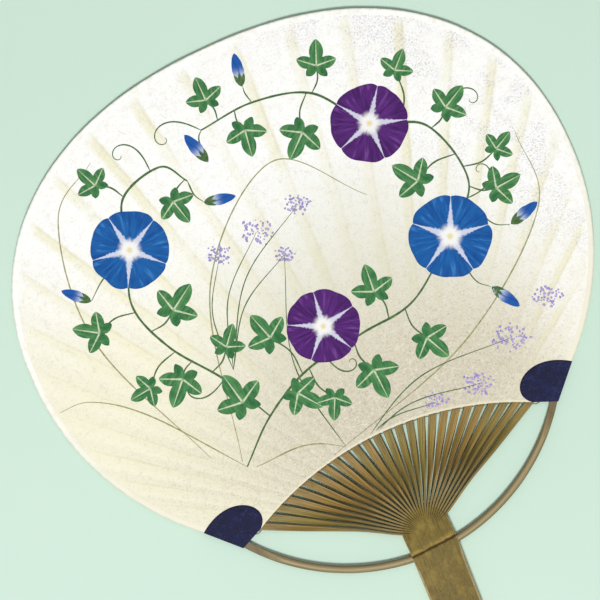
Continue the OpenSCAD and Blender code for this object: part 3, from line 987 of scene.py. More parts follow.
def dome_point(t):
    """Point on an ear's domed side, from the paper's corner to the ear's outer corner."""
    inner_pull = EAR_TIP - EAR_LEAN * EAR_ALONG + EAR_INNER_PULL * EAR_INWARD
    outer_pull = EAR_CORNER - EAR_OUTER_BACK * EAR_ALONG + EAR_OUTER_PULL * EAR_INWARD
    s = 1 - t
    return (s ** 3 * PAPER_CORNER + 3 * s * s * t * inner_pull
            + 3 * s * t * t * outer_pull + t ** 3 * EAR_CORNER)


def base_point(t):
    """Point on an ear's mouth and then on its folded side."""
    along = t * EAR_BASE
    if along < EAR_MOUTH:
        return PAPER_CORNER + (EAR_TIP - PAPER_CORNER) * (along / EAR_MOUTH)
    return EAR_TIP + EAR_ALONG * (along - EAR_MOUTH)


def ear_turns():
    """Places along an ear's base, and the number of the one at its lower corner."""
    share = EAR_MOUTH / EAR_BASE
    first = round(EAR_COLUMNS * share)
    return evenly(0, share, first) + evenly(share, 1, EAR_COLUMNS - first) + [1.0], first


def make_ear(name, node, side, finish):
    """A patch of dark paper on both faces, folded round the corner of the head."""
    shape = Shape(("edge_distance",))
    turns, corner = ear_turns()
    grain = EAR_WRINKLE_LEN
    faces = {}
    for face in (1, -1):
        rows = []
        for k in range(EAR_ROWS + 1):
            t = k / EAR_ROWS
            row = []
            for u in turns:
                base, dome = base_point(u), dome_point(u)
                p = base + (dome - base) * t
                crumple = noise.noise(Vector((p.x / grain, p.y / grain, 3 * face + side)))
                lift = EAR_WRINKLE * (1 + crumple) / 2
                height = paper_lift(p.x, p.y, face) + EAR_T - EAR_WRINKLE + lift
                edge = min((dome - p).length, EAR_EDGE_REACH)
                row.append(shape.point((side * p.x, p.y, MID_Z + face * height), (edge,)))
            rows.append(row)
        shape.skin(rows if face == 1 else rows[::-1], closed=False)
        faces[face] = rows[0][corner:]
    # The fold itself bulges past the corner by the paper's own thickness
    rings = [faces[1]]
    for k in range(1, FOLD_ROWS):
        lean = math.pi / 2 - math.pi * k / FOLD_ROWS
        ring = []
        for u in turns[corner:]:
            p = base_point(u)
            out = p - EAR_INWARD * EAR_T * math.cos(lean)
            face = 1 if lean > 0 else -1
            z = (paper_lift(p.x, p.y, face) + EAR_T - EAR_WRINKLE) * math.sin(lean)
            ring.append(shape.point((side * out.x, out.y, MID_Z + z), (EAR_FOLD_EDGE,)))
        rings.append(ring)
    rings.append(faces[-1])
    shape.skin(rings, closed=False)
    ear = shape.piece(name, finish, sharp=60)
    # The skin is open, so it is turned to face up by its highest cell
    top = max(ear.data.polygons, key=lambda polygon: polygon.center.z)
    if top.normal.z < 0:
        ear.data.flip_normals()
    solid = ear.modifiers.new("paper_thickness", "SOLIDIFY")
    solid.thickness = EAR_SKIN_T * MM
    solid.offset = -1
    stands_for(ear, node)


# Handle

BEVEL = 0.7
NECK_BEVEL = 0.18
ROOT_BEVEL = 0.06
LIP_RISE, LIP_W, LIP_ABOVE = 0.1, 0.8, 0.75
SCAR_DEPTH, SCAR_W, SCAR_DARK_W = 0.32, 0.4, 0.58
SCAR_WANDER, SCAR_WANDER_LEN = 0.55, 2.6
SCAR_JITTER, SCAR_JITTER_LEN = 0.28, 0.8
CROWN = 0.12
SLIT_DEPTH = 0.45
SLIT_HALF_W = 0.09
SLIT_FROM = 6.0
HANDLE_VALUES = ("bevel", "scar", "lip", "slit")
NECK_RINGS = (0, 1.2, 2.4, 3.6, 4.8, 6.0, 7.0, 7.8, 8.5, 9.1, 9.6, 10.0, 10.25, 10.45, 10.6, 10.7)
HANDLE_FACE = HANDLE_T - LIP_RISE
HOLE_ROOM = 0.12
HOLE_SIDES = 40
HOLE_STEPS = 12


def handle_half(y):
    """Half width of the handle at a height."""
    if y >= 0:
        return HANDLE_HALF_W
    share = y / (HANDLE_END_Y + HANDLE_CORNER_R)
    return HANDLE_HALF_W + (HANDLE_END_HALF_W - HANDLE_HALF_W) * min(share, 1)


def handle_middle(y):
    return math.tan(HANDLE_LEAN) * max(min(y, 0), HANDLE_END_Y + HANDLE_CORNER_R)


def neck_reach(a):
    """Distance from the ribs' centre to the neck's edge."""
    side = abs(math.sin(a))
    return min(ROOT_R, HANDLE_HALF_W / side if side > 0 else ROOT_R)


def scar_offset(x, y):
    """Height of a point above the wandering scar line across the node."""
    line = x * math.tan(SCAR_SLANT) + SCAR_WANDER * noise.noise(Vector((x / SCAR_WANDER_LEN, 4.1, 0)))
    return y - line + SCAR_JITTER * noise.noise(Vector((x / SCAR_JITTER_LEN, 9.3, 0)))


def edge_depth(x, y):
    """Distance of a point from the handle's outline, and the rounding there."""
    if y > 0:
        p = Vector((x, y))
        side = HANDLE_HALF_W - abs(x)
        end = ROOT_R - (p - RIB_CENTRE).length if y > ROOT_Y else side
        return min(side, end), ROOT_BEVEL if end < side else NECK_BEVEL
    side = handle_half(y) - abs(x - handle_middle(y))
    end = y - HANDLE_END_Y
    if end < HANDLE_CORNER_R and side < HANDLE_CORNER_R:
        corner = Vector((HANDLE_CORNER_R - side, HANDLE_CORNER_R - end)).length
        side = end = HANDLE_CORNER_R - corner
    rounding = NECK_BEVEL + (BEVEL - NECK_BEVEL) * smooth(-y, 2.5, 9)
    return min(side, end), rounding


def slit_amount(x, y):
    """How open the split between two ribs is at a point of the neck."""
    p = Vector((x, y)) - RIB_CENTRE
    if p.y < 0 or p.length < SLIT_FROM:
        return 0
    place = (math.atan2(p.x, p.y) / ROOT_HALF_A * (RIB_COUNT - 1) + RIB_COUNT + 1) / 2
    off = abs(place - math.floor(place) - 0.5) * 2 * ROOT_HALF_A / (RIB_COUNT - 1) * p.length
    inside = 0 < place - 0.5 and place + 0.5 < RIB_COUNT + 1
    return (off < SLIT_HALF_W) * inside * smooth(p.length, SLIT_FROM, ROOT_R - 2)


def handle_z(x, y, face):
    """Height of the handle's surface from the middle of its thickness."""
    z = HANDLE_FACE - MID_Z
    if y > NECK_THIN_Y:
        end = RIB_W / 2 + ROOT_STEP
        z += (end - z) * (y - NECK_THIN_Y) / (ROOT_Y + ROOT_R + 1 - NECK_THIN_Y)
    crown = CROWN * (abs(x - handle_middle(y)) / handle_half(y)) ** 2
    depth, rounding = edge_depth(x, y)
    over = max(rounding - max(depth, 0), 0)
    z -= rounding - math.sqrt(max(rounding ** 2 - over ** 2, 0))
    off = scar_offset(x, y)
    # The node has a lip and a deep scar in front, and a shallow scar behind
    if face > 0:
        z += LIP_RISE * math.exp(-((off - LIP_ABOVE) / LIP_W) ** 2)
    scar = SCAR_DEPTH if face > 0 else SCAR_DEPTH / 2
    z -= scar * math.exp(-(off / SCAR_W) ** 2) * smooth(depth, -0.1, 0.2)
    z -= SLIT_DEPTH * slit_amount(x, y)
    ripple = 0.05 * noise.noise(Vector((x / 4, y / 40, face)))
    return face * (z - crown - abs(ripple))


def handle_data(x, y):
    depth, rounding = edge_depth(x, y)
    off = scar_offset(x, y)
    bevel = 1 - smooth(depth, rounding * 0.6, rounding * 1.5)
    dark_w = SCAR_DARK_W + 0.34 * noise.noise(Vector((x / 1.9, 2.7, 0)))
    scar = math.exp(-(off / dark_w) ** 2)
    # Share of the painted highlight on the lip above the scar
    lip = smooth(off, 0.15, 0.4) * (1 - smooth(off, 1.3, 2.6))
    return bevel, scar, lip, min(slit_amount(x, y) * 1.6, 1)


def handle_levels():
    """Heights of the handle's rows: close at the scar and at the rounded end."""
    end = HANDLE_END_Y + HANDLE_CORNER_R
    return evenly(ROOT_Y, 2.2, 8) + evenly(2.2, -1.6, 42) + evenly(-1.6, end, 90) + [end]


def neck_turns():
    """Angles round the neck's end, with narrow columns for the splits between the ribs."""
    pitch = 2 * ROOT_HALF_A / (RIB_COUNT - 1)
    half_slit = SLIT_HALF_W / ROOT_R
    turns = [-math.pi / 2, -(math.pi / 2 + ROOT_HALF_A) / 2]
    for k in range(RIB_COUNT - 1):
        low = -ROOT_HALF_A + k * pitch
        middle = low + pitch / 2
        turns += [low, low + pitch * 0.25, middle - half_slit * 1.6, middle - half_slit * 0.9,
                  middle + half_slit * 0.9, middle + half_slit * 1.6, low + pitch * 0.75]
    return turns + [ROOT_HALF_A, (math.pi / 2 + ROOT_HALF_A) / 2, math.pi / 2]


def handle_plan():
    plan = Plan()

    def corner(x, y):
        return plan.corner(x, y, handle_data(x, y))

    shares = [ring / HANDLE_HALF_W for ring in NECK_RINGS]
    rows = []
    for a in neck_turns():
        edge = neck_reach(a)
        row = []
        for share in shares:
            p = RIB_CENTRE + edge * share * turned(a)
            row.append(corner(p.x, p.y))
        rows.append(row)
    plan.grid(rows)
    across = [-share for share in reversed(shares[1:])] + shares
    straight = [[corner(handle_middle(y) + share * handle_half(y), y) for share in across]
                for y in handle_levels()]
    plan.grid(straight)
    # The rounded end carries on from the last straight row
    end_y = HANDLE_END_Y + HANDLE_CORNER_R
    rows = []
    for t in (0, 0.25, 0.5, 0.75, 0.92, 1):
        row = []
        for share in across:
            x = share * HANDLE_END_HALF_W
            past = max(abs(x) - (HANDLE_END_HALF_W - HANDLE_CORNER_R), 0)
            drop = math.sqrt(max(HANDLE_CORNER_R ** 2 - past ** 2, 0))
            row.append(corner(handle_middle(end_y) + x, end_y - t * drop))
        rows.append(row)
    plan.grid(rows)
    return plan


def make_handle(finish):
    """The flat stick and its neck, with the node's scar and the bow's hole."""
    shape = Shape(HANDLE_VALUES)
    shape.thicken(handle_plan(), lambda x, y: MID_Z + handle_z(x, y, 1),
                  lambda x, y: MID_Z + handle_z(x, y, -1), 5)
    handle = shape.piece("bamboo_handle", finish)
    drill_bow_hole(handle)
    stands_for(handle, "handle")


def drill_bow_hole(handle):
    """Cuts the curved hole that the bow passes through, a little wider than the bow."""
    radius = BOW_D / 2 + HOLE_ROOM
    half_a = (HANDLE_HALF_W + 2) / BOW_R
    shape = Shape()
    rings = []
    for k in range(HOLE_STEPS + 1):
        centre = BOW_CENTRE - BOW_R * turned(half_a * (2 * k / HOLE_STEPS - 1))
        out = (centre - BOW_CENTRE).normalized()
        ring = []
        for j in range(HOLE_SIDES):
            t = 2 * math.pi * j / HOLE_SIDES
            p = centre + out * radius * math.cos(t)
            ring.append(shape.point((p.x, p.y, MID_Z + radius * math.sin(t))))
        rings.append(ring)
    shape.skin(rings)
    drill = shape.piece("hole_drill", None)
    cut = handle.modifiers.new("bow_hole", "BOOLEAN")
    cut.object = drill
    cut.operation = "DIFFERENCE"
    cut.solver = "EXACT"
    handle.data = plain_mesh(handle)
    bpy.data.objects.remove(drill)


# What repeats or follows a path, as node trees

class Maker(Nodes):
    """A geometry tree with named inputs, which turns out finished pieces."""

    def __init__(self, name, numbers, takes_geometry=False):
        tree = bpy.data.node_groups.new(name, "GeometryNodeTree")
        super().__init__(tree)
        tree.interface.new_socket(name="Geometry", in_out="OUTPUT", socket_type="NodeSocketGeometry")
        if takes_geometry:
            tree.interface.new_socket(name="Geometry", in_out="INPUT", socket_type="NodeSocketGeometry")
        self.identifiers = {}
        for key in numbers:
            kind = "NodeSocketInt" if key == "Seed" else "NodeSocketFloat"
            socket = tree.interface.new_socket(name=key, in_out="INPUT", socket_type=kind)
            self.identifiers[key] = socket.identifier
        self.given = {socket.name: Value(self, socket) for socket in self.add("NodeGroupInput").outputs}
        self.result = self.add("NodeGroupOutput")

    def finish(self, geometry, material):
        """Ends the tree in one real mesh of one finish."""
        real = self.get("GeometryNodeRealizeInstances", {"Geometry": geometry})
        dressed = self.get("GeometryNodeSetMaterial", {"Geometry": real, "Material": material})
        self.feed(self.result.inputs[0], dressed)

    def store(self, geometry, name, value):
        inputs = {"Geometry": geometry, "Name": name, "Value": value}
        return self.get("GeometryNodeStoreNamedAttribute", inputs, data_type="FLOAT", domain="POINT")

    def here(self):
        return self.parts(self.get("GeometryNodeInputPosition"))

    def upright(self, curve):
        return self.get("GeometryNodeSetCurveNormal", {"Curve": curve}, mode="Z_UP")

    def even_line(self, count):
        """A straight line of so many points, to be laid along a path."""
        line = self.get("GeometryNodeCurvePrimitiveLine", {"Start": (0, 0, 0), "End": (1, 0, 0)})
        return self.get("GeometryNodeResampleCurve", {"Curve": line, "Count": count})

    def moved(self, geometry, place):
        return self.get("GeometryNodeSetPosition", {"Geometry": geometry, "Position": place})

    def round_profile(self, diameter, sides):
        """Circle that carries the angle round itself."""
        inputs = {"Resolution": sides, "Radius": diameter * MM / 2}
        ring = self.get("GeometryNodeCurvePrimitiveCircle", inputs)
        x, y, _ = self.here()
        return self.store(ring, "around", self.maths("ARCTAN2", y, x))

    def swept(self, path, profile, **more):
        inputs = {"Curve": path, "Profile Curve": profile, "Fill Caps": True, **more}
        return self.get("GeometryNodeCurveToMesh", inputs)

    def make(self, name, values, start=None, sharp=SHARP):
        """Runs the tree on a start mesh, or on nothing, and keeps its result as a plain piece."""
        host = in_scene(name + "_maker", start or bpy.data.meshes.new(name + "_maker"))
        modifier = host.modifiers.new("maker", "NODES")
        modifier.node_group = self.tree
        for key, value in values.items():
            modifier[self.identifiers[key]] = value
        mesh = plain_mesh(host)
        bpy.data.objects.remove(host)
        return finished(name, mesh, None, sharp)


RIB_POINTS = 110
RIB_CROWDING = 1.35
RIB_FILLET = 0.16
SWAY = 0.016


def rib_maker(material):
    """A blade that leaves the neck on edge, bends into its line and twists flat."""
    m = Maker("split_rib", ("Reach", "Lean", "Root lean", "Flat reach", "Lateness", "Width", "Tint",
                            "Wander"))
    g = m.given
    root_r = ROOT_R * MM
    line = m.even_line(RIB_POINTS)
    share = m.get("GeometryNodeSplineParameter", output="Factor") ** RIB_CROWDING
    reach = root_r + share * (g["Reach"] - root_r)
    left = m.maths("MAXIMUM", 0.0, 1.0 - (reach - root_r) / (RIB_BEND * MM))
    a = g["Lean"] + (g["Root lean"] - g["Lean"]) * (left * left)
    # A split rib is never quite straight between the neck and the paper
    open_part = (reach - root_r) / (g["Flat reach"] - root_r)
    window = m.maths("SINE", m.maths("MINIMUM", open_part, 1.0) * math.pi)
    a += (m.noise(m.vector(reach * 38.0, g["Wander"]), detail=1) - 0.5) * (window * SWAY)
    rise = ROOT_Y * MM + reach * m.maths("COSINE", a)
    path = m.upright(m.moved(line, m.vector(reach * m.maths("SINE", a), rise, MID_Z * MM)))
    # The twist is read from how far the point lies from the ribs' centre
    x, y, _ = m.here()
    out = m.distance(x, y - ROOT_Y * MM)
    turned_share = (out - root_r) / (g["Flat reach"] - root_r)
    turned_share = m.maths("MINIMUM", m.maths("MAXIMUM", turned_share, 0.0), 1.0)
    tilt = turned_share ** g["Lateness"] * (math.pi / 2) - math.pi / 2
    path = m.get("GeometryNodeSetCurveTilt", {"Curve": path, "Tilt": tilt})
    path = m.store(m.store(path, "along", out / MM), "tint", g["Tint"])
    inputs = {"Width": g["Width"], "Height": RIB_T * MM}
    blade = m.get("GeometryNodeCurvePrimitiveQuadrilateral", inputs)
    inputs = {"Curve": blade, "Count": 2, "Radius": RIB_FILLET * MM}
    blade = m.get("GeometryNodeFilletCurve", inputs, mode="POLY")
    m.finish(m.swept(path, m.store(blade, "across", m.here()[0] / MM)), material)
    return m


def make_ribs(finish):
    maker = rib_maker(finish)
    chance = random.Random(26)
    for i in RIBS:
        values = {
            "Reach": rib_reach(i) * MM,
            "Lean": rib_angle(i),
            "Root lean": ROOT_HALF_A * rib_side(i),
            "Flat reach": ((rib_edge_point(i) - RIB_CENTRE).length - RIB_FLAT_LEAD) * MM,
            "Lateness": TWIST_LATE_MIDDLE + (TWIST_LATE_OUTER - TWIST_LATE_MIDDLE) * abs(rib_side(i)),
            "Width": rib_width(i) * MM,
            "Tint": chance.random(),
            "Wander": 10 * chance.random(),
        }
        stands_for(maker.make(f"bamboo_rib_{i:02d}", values), f"rib_{i:02d}")


BOW_POINTS = 420
BOW_SIDES = 28
TIP_SHARE = 0.94


def make_bow(finish):
    """The shaved rod along its arc, pared flat where it goes between the sheets."""
    m = Maker("bow_rod", ("Half angle", "Radius", "Centre height"))
    g = m.given
    a = g["Half angle"] * (m.get("GeometryNodeSplineParameter", output="Factor") * 2.0 - 1.0)
    height = g["Centre height"] - g["Radius"] * m.maths("COSINE", a)
    place = m.vector(g["Radius"] * m.maths("SINE", a), height, MID_Z * MM)
    path = m.upright(m.moved(m.even_line(BOW_POINTS), place))
    length = m.get("GeometryNodeSplineParameter", output="Length")
    path = m.store(path, "along", length / MM)
    # The shave leaves the rod a little uneven
    thin = m.span(m.noise(m.vector(length * 60.0), detail=2), 0.3, 0.7, 0.955, 1.0)
    rod = m.swept(path, m.round_profile(BOW_D, BOW_SIDES), Scale=thin)
    x, y, z = m.here()
    short = m.maths("MAXIMUM", 0.0, BOW_TIP_X * MM - abs(x))
    half = SHEET_IN * MM * TIP_SHARE + short * math.tan(BOW_TIP_SLOPE)
    off = m.maths("MINIMUM", m.maths("MAXIMUM", z - MID_Z * MM, half * -1.0), half)
    m.finish(m.moved(rod, m.vector(x, y, off + MID_Z * MM)), finish)
    values = {"Half angle": BOW_HALF_A, "Radius": BOW_R * MM, "Centre height": BOW_CENTRE.y * MM}
    stands_for(m.make("bamboo_bow", values), "bow")


THREAD_ARC_R = PAPER_ARC_R - THREAD_DROP
THREAD_TWIST_D = THREAD_D * 0.96
THREAD_SIDES = 8
THREAD_RING_GAP = 0.5
THREAD_WAVE = RIB_T / 2 + THREAD_D / 2 + THREAD_GAP


def thread_path():
    """Over one rib and under the next, from one bow tip to the other."""
    def at(a, z):
        p = PAPER_ARC + THREAD_ARC_R * turned(a)
        return Vector((p.x, p.y, MID_Z + z))

    def crossing(i):
        direction = turned(rib_angle(i))
        p = RIB_CENTRE + direction * arc_reach(direction, PAPER_ARC, THREAD_ARC_R)
        return math.atan2(p.x, p.y - PAPER_ARC.y)

    def cover(i):
        half = rib_width(i) / 2 / math.cos(rib_angle(i) - crossing(i))
        return (half + THREAD_OVERRUN) / THREAD_ARC_R

    end_r = BOW_R - BOW_D / 2 - THREAD_D / 2 - THREAD_GAP
    end_a = EAR_TIP_A + THREAD_UNDER_EAR / BOW_R
    end = BOW_CENTRE + Vector((end_r * math.sin(end_a), -end_r * math.cos(end_a)))
    last = crossing(RIB_COUNT) + cover(RIB_COUNT) + RIB_PITCH / 4
    path = [Vector((-end.x, end.y, MID_Z)), at(-last, 0)]
    for i in RIBS:
        wave = THREAD_WAVE if i % 2 == 0 else -THREAD_WAVE
        path += [at(crossing(i) + side * cover(i), wave) for side in (-1, 1)]
    return path + [at(last, 0), Vector((end.x, end.y, MID_Z))]


def make_thread(finish):
    m = Maker("lacing", ("Ring spacing",), takes_geometry=True)
    path = m.get("GeometryNodeMeshToCurve", {"Mesh": m.given["Geometry"]})
    inputs = {"Curve": path, "Length": m.given["Ring spacing"]}
    path = m.upright(m.get("GeometryNodeResampleCurve", inputs, mode="LENGTH"))
    path = m.store(path, "along", m.get("GeometryNodeSplineParameter", output="Length") / MM)
    m.finish(m.swept(path, m.round_profile(THREAD_TWIST_D, THREAD_SIDES)), finish)
    points = thread_path()
    start = bpy.data.meshes.new("lacing_path")
    start.from_pydata([p * MM for p in points], [(k, k + 1) for k in range(len(points) - 1)], [])
    thread = m.make("lacing_thread_twist", {"Ring spacing": THREAD_RING_GAP * MM}, start, sharp=60)
    stands_for(thread, "lacing_thread")


# The painting: climbing flowers, leaves and grasses laid on the front sheet as thin films of colour

ART_TURN = math.radians(-25)
ART_CENTRE = Vector((0, WIDEST_Y))
FILM_SINK = 0.04
FILM_STEP = 0.0015
BRUSH_WAVER = 0.25
BARE_MARGIN = 1.5
DOT_D = 0.78
DOT_MARGIN = 2.5
DOT_LIFT = 0.03


def on_sheet(x, y):
    """Place on the fan of a point of the painting, which is drawn upright, 25 degrees off the handle."""
    p = Vector((x, y))
    p.rotate(Matrix.Rotation(ART_TURN, 2))
    return ART_CENTRE + p


def heading(a):
    return Vector((math.cos(a), math.sin(a)))


def smooth_path(places, step=1.2):
    """Closely spaced points of a soft curve through the given places."""
    points = [Vector(place) for place in places]
    ends = [2 * points[0] - points[1], *points, 2 * points[-1] - points[-2]]
    path = []
    for a, b, c, d in zip(ends, ends[1:], ends[2:], ends[3:]):
        count = max(round((c - b).length / step), 2)
        for t in evenly(0, 1, count):
            path.append(0.5 * ((2 * b) + (c - a) * t + (2 * a - 5 * b + 4 * c - d) * t * t
                               + (3 * b - a - 3 * c + d) * t ** 3))
    return path + [points[-1]]


def paintable(p, margin=BARE_MARGIN):
    """Whether a point of the fan lies on bare sheet, clear of its edge, the rim and the ears."""
    clear = (p - PAPER_ARC).length > PAPER_ARC_R + margin and in_oval(p, RIM_W + margin)
    ear = (Vector((abs(p.x), p.y)) - (EAR_TIP + EAR_CORNER) / 2 - 4 * EAR_INWARD).length
    return clear and ear > EAR_FOLD_LEN / 2 + 8 + margin


class Paint:
    """Films of one colour on the front sheet."""

    def __init__(self, level):
        self.shape = Shape(PAINT_VALUES)
        self.level = level
        self.films = 0

    def film(self, plan):
        """Lays one film, a hair above the last one of the same colour."""
        level = self.level + FILM_STEP * (self.films % 12)
        self.films += 1
        self.shape.thicken(plan, lambda x, y: front_z(x, y) + level,
                           lambda x, y: front_z(x, y) - FILM_SINK)

    def blot(self, place, size, lean, outline, rings=12, spokes=96):
        """A filled form round a centre. outline gives its reach, from 0 to 1, in each direction."""
        plan = Plan()
        rows = []
        for k in range(rings + 1):
            row = []
            for j in range(spokes):
                a = 2 * math.pi * j / spokes
                reach = size * outline(a) * k / rings
                local = heading(a) * reach
                x, y = local / size
                local.rotate(Matrix.Rotation(lean, 2))
                p = on_sheet(*(Vector(place) + local))
                row.append(plan.corner(p.x, p.y, (x, y)))
            rows.append(row + row[:1])
        plan.grid(rows)
        self.film(plan)

    def stroke(self, places, width, taper=0.15, swell=0.5):
        """A brush line through points, thickest at the share swell of its length."""
        path = [p for p in smooth_path(places) if paintable(on_sheet(*p))]
        plan = Plan()
        rows = []
        for k, p in enumerate(path):
            t = k / (len(path) - 1)
            ahead, behind = path[min(k + 1, len(path) - 1)], path[max(k - 1, 0)]
            along = (ahead - behind).normalized()
            side = Vector((-along.y, along.x))
            rise = t / swell if t < swell else (1 - t) / (1 - swell)
            half = width / 2 * (taper + (1 - taper) * math.sin(math.pi / 2 * max(rise, 0)) ** 0.8)
            half *= 1 + BRUSH_WAVER * noise.noise(Vector((p.x / 3, p.y / 3, width)))
            row = []
            for across in (-1, 0, 1):
                q = on_sheet(*(p + side * across * half))
                row.append(plan.corner(q.x, q.y, (t, across)))
            rows.append(row)
        plan.grid(rows)
        self.film(plan)

    def piece(self, name, finish):
        self.shape.piece(name, finish)


def brushed(a, seed, amount=0.02, waves=3.0):
    """Small unevenness of a brushed outline."""
    return amount * noise.noise(Vector((waves * math.cos(a), waves * math.sin(a), 5.7 * seed)))


def trumpet_outline(seed):
    """Open trumpet seen from the front: nearly round, with five shallow notches."""
    def reach(a):
        fifth = abs((a / (2 * math.pi) * 5 + 0.5) % 1 - 0.5) * 2
        return 0.985 - 0.05 * (1 - fifth) ** 6 - 0.025 * fifth ** 2 + brushed(a, seed, 0.03)
    return reach


def lobed_leaf_outline(seed):
    """Leaf with one long and two short pointed lobes, and a notch at the stalk."""
    lobes = ((0, 1.0, 0.72), (1.25, 0.8, 0.76), (-1.25, 0.8, 0.76), (2.35, 0.55, 0.7),
             (-2.35, 0.55, 0.7))

    def reach(a):
        total = 0.2
        for direction, length, half_w in lobes:
            off = abs((a - direction + math.pi) % (2 * math.pi) - math.pi) / half_w
            if off < 1:
                total = max(total, 0.2 + (length - 0.2) * (1 - off ** 1.1) ** 0.75)
        return total + brushed(a, seed, 0.03)
    return reach


def pointed_outline(half_w, seed):
    """Leaf or bud with a point at each end."""
    def reach(a):
        along, across = abs(math.cos(a)), abs(math.sin(a)) / half_w
        return 1 / (along ** 1.15 + across ** 1.5) ** (1 / 1.3) * (1 + brushed(a, seed, 0.05))
    return reach


# Places in the painting are measured from the middle of the head, with y up the sheet
BLUE_TRUMPETS = (((64, 12), 18.5, 0.3), ((-75, 6), 17.6, 0.9))
PURPLE_TRUMPETS = (((29, 61), 17.4, 0.1), ((9, -27), 16.4, 0.6))
VINES = (
    ((-24, -88), (-14, -66), (2, -46), (26, -30), (48, -16), (64, 12)),
    ((64, 12), (72, 36), (54, 60), (29, 61), (4, 74), (-22, 70), (-44, 58)),
    ((-14, -66), (-34, -50), (-58, -36), (-74, -18), (-75, 6)),
    ((-75, 6), (-78, 28), (-62, 42), (-50, 36)),
)
LEAVES = (
    ((-26, -60), 14.5, 2.2), ((-2, -56), 12.5, -0.5), ((31, -46), 13.5, -1.1), ((31, -12), 12.5, 1.9),
    ((54, -32), 12.5, -0.7), ((84, 33), 12.0, 0.5), ((50, 36), 13.0, 2.6), ((62, 68), 12.0, 0.9),
    ((6, 86), 11.5, 1.6), ((0, 57), 13.0, -2.0), ((-25, 58), 12.0, -1.3), ((-42, 71), 11.0, 2.0),
    ((-52, -50), 13.0, -1.9), ((-56, -20), 13.5, 1.0), ((-88, -30), 12.0, 3.0), ((-90, 34), 10.5, 2.4),
    ((-56, 27), 11.5, -0.9), ((-14, -32), 13.0, 2.3), ((14, -58), 10.0, -1.6),
    ((40, 84), 10.0, 1.2), ((-33, -36), 10.5, 1.3), ((-66, -54), 10.0, -2.6), ((84, 50), 9.5, 0.9),
)
BUDS = (((-46, 50), 8.0, 2.3), ((-28, 84), 7.6, 1.8), ((96, 22), 7.6, 0.7), ((-36, 28), 7.2, 0.2),
        ((88, -14), 7.6, -0.6), ((-98, -14), 7.0, 2.8))
BUD_STALKS = (((-44, 58), (-45, 54), (-42, 45)), ((-22, 70), (-25, 74), (-26, 77)),
              ((72, 28), (82, 18), (90, 17)), ((-50, 36), (-47, 30), (-43, 27)),
              ((64, 12), (74, -6), (82, -10)), ((-75, 6), (-86, -6), (-91.5, -16)))
# Where each tendril leaves its vine, the way it sets out, its length, and the side it curls to
TENDRILS = (((-44, 58), 2.7, 44, 1), ((60, 64), 1.2, 40, -1), ((-34, -50), -2.2, 36, -1),
            ((-66, 40), 2.0, 40, 1), ((70, 28), 0.4, 38, 1), ((10, -40), -0.9, 30, 1))
UMBELS = (((90, -32), 8.0), ((76, -52), 6.5), ((106, -14), 6.0), ((58, -60), 5.5), ((-20, 14), 7.0),
          ((-2, 26), 5.5), ((-36, 4), 5.5), ((-8, 4), 4.5))
UMBEL_ROOTS = (((22, -84), 4), ((-30, -46), 4))
GRASSES = (
    ((-24, -88), (-66, -66), (-92, -60), (-108, -66)), ((-20, -88), (6, -78), (44, -84), (66, -76)),
    ((-26, -86), (-40, -10), (-14, 44), (28, 30)), ((10, -86), (70, -34), (102, 24), (92, 58)),
    ((-40, -84), (-90, -34), (-106, 18), (-92, 44)), ((30, -82), (84, -74), (110, -52), (117, -36)),
)


def tendril_points(start, way, length, side):
    """A line that curls up ever more tightly."""
    steps = 26
    points = [Vector(start)]
    for k in range(steps):
        way += side * 0.46 * (k / steps) ** 0.9
        stride = length / steps * (1.25 - k / steps)
        points.append(points[-1] + stride * heading(way))
    return points


def nearest_on_vines(p):
    return min((q for places in VINES for q in smooth_path(places)), key=lambda q: (q - p).length)


def umbel_dots():
    """Places of the small round flowers, thick in each umbel's middle and thinner outwards."""
    chance = random.Random(11)
    dots = []
    for (x, y), size in UMBELS:
        for k in range(round(size * 9)):
            away = size * math.sqrt((k + 0.5) / (size * 9)) * (0.8 + 0.4 * chance.random())
            turn = 2.4 * k + chance.random()
            p = on_sheet(x + away * math.cos(turn), y + 0.75 * away * math.sin(turn))
            if paintable(p, DOT_MARGIN):
                dots.append((p.x, p.y, front_z(p.x, p.y) + DOT_LIFT))
    return dots


def make_umbels(finish):
    """Dots of thick colour, one small dome at each place."""
    m = Maker("dabbed_dots", ("Dot size", "Least share", "Seed"), takes_geometry=True)
    g = m.given
    dome = m.get("GeometryNodeMeshUVSphere", {"Segments": 8, "Rings": 4, "Radius": 1.0})
    dome = m.get("GeometryNodeTransform", {"Geometry": dome, "Scale": (1, 0.8, 0.12)})

    def random_value(**range_ends):
        inputs = {**range_ends, "Seed": g["Seed"]}
        return m.get("FunctionNodeRandomValue", inputs, "Value", data_type="FLOAT")

    size = random_value(Min=g["Least share"], Max=1.0) * g["Dot size"]
    turn = random_value(Max=6.28)
    inputs = {"Points": g["Geometry"], "Instance": dome, "Rotation": m.vector(z=turn),
              "Scale": m.vector(size, size, size)}
    m.finish(m.get("GeometryNodeInstanceOnPoints", inputs), finish)
    start = bpy.data.meshes.new("umbel_places")
    start.from_pydata([Vector(p) * MM for p in umbel_dots()], [], [])
    values = {"Dot size": DOT_D * MM, "Least share": 0.45, "Seed": 4}
    dots = m.make("painted_lavender_dots", values, start, sharp=80)


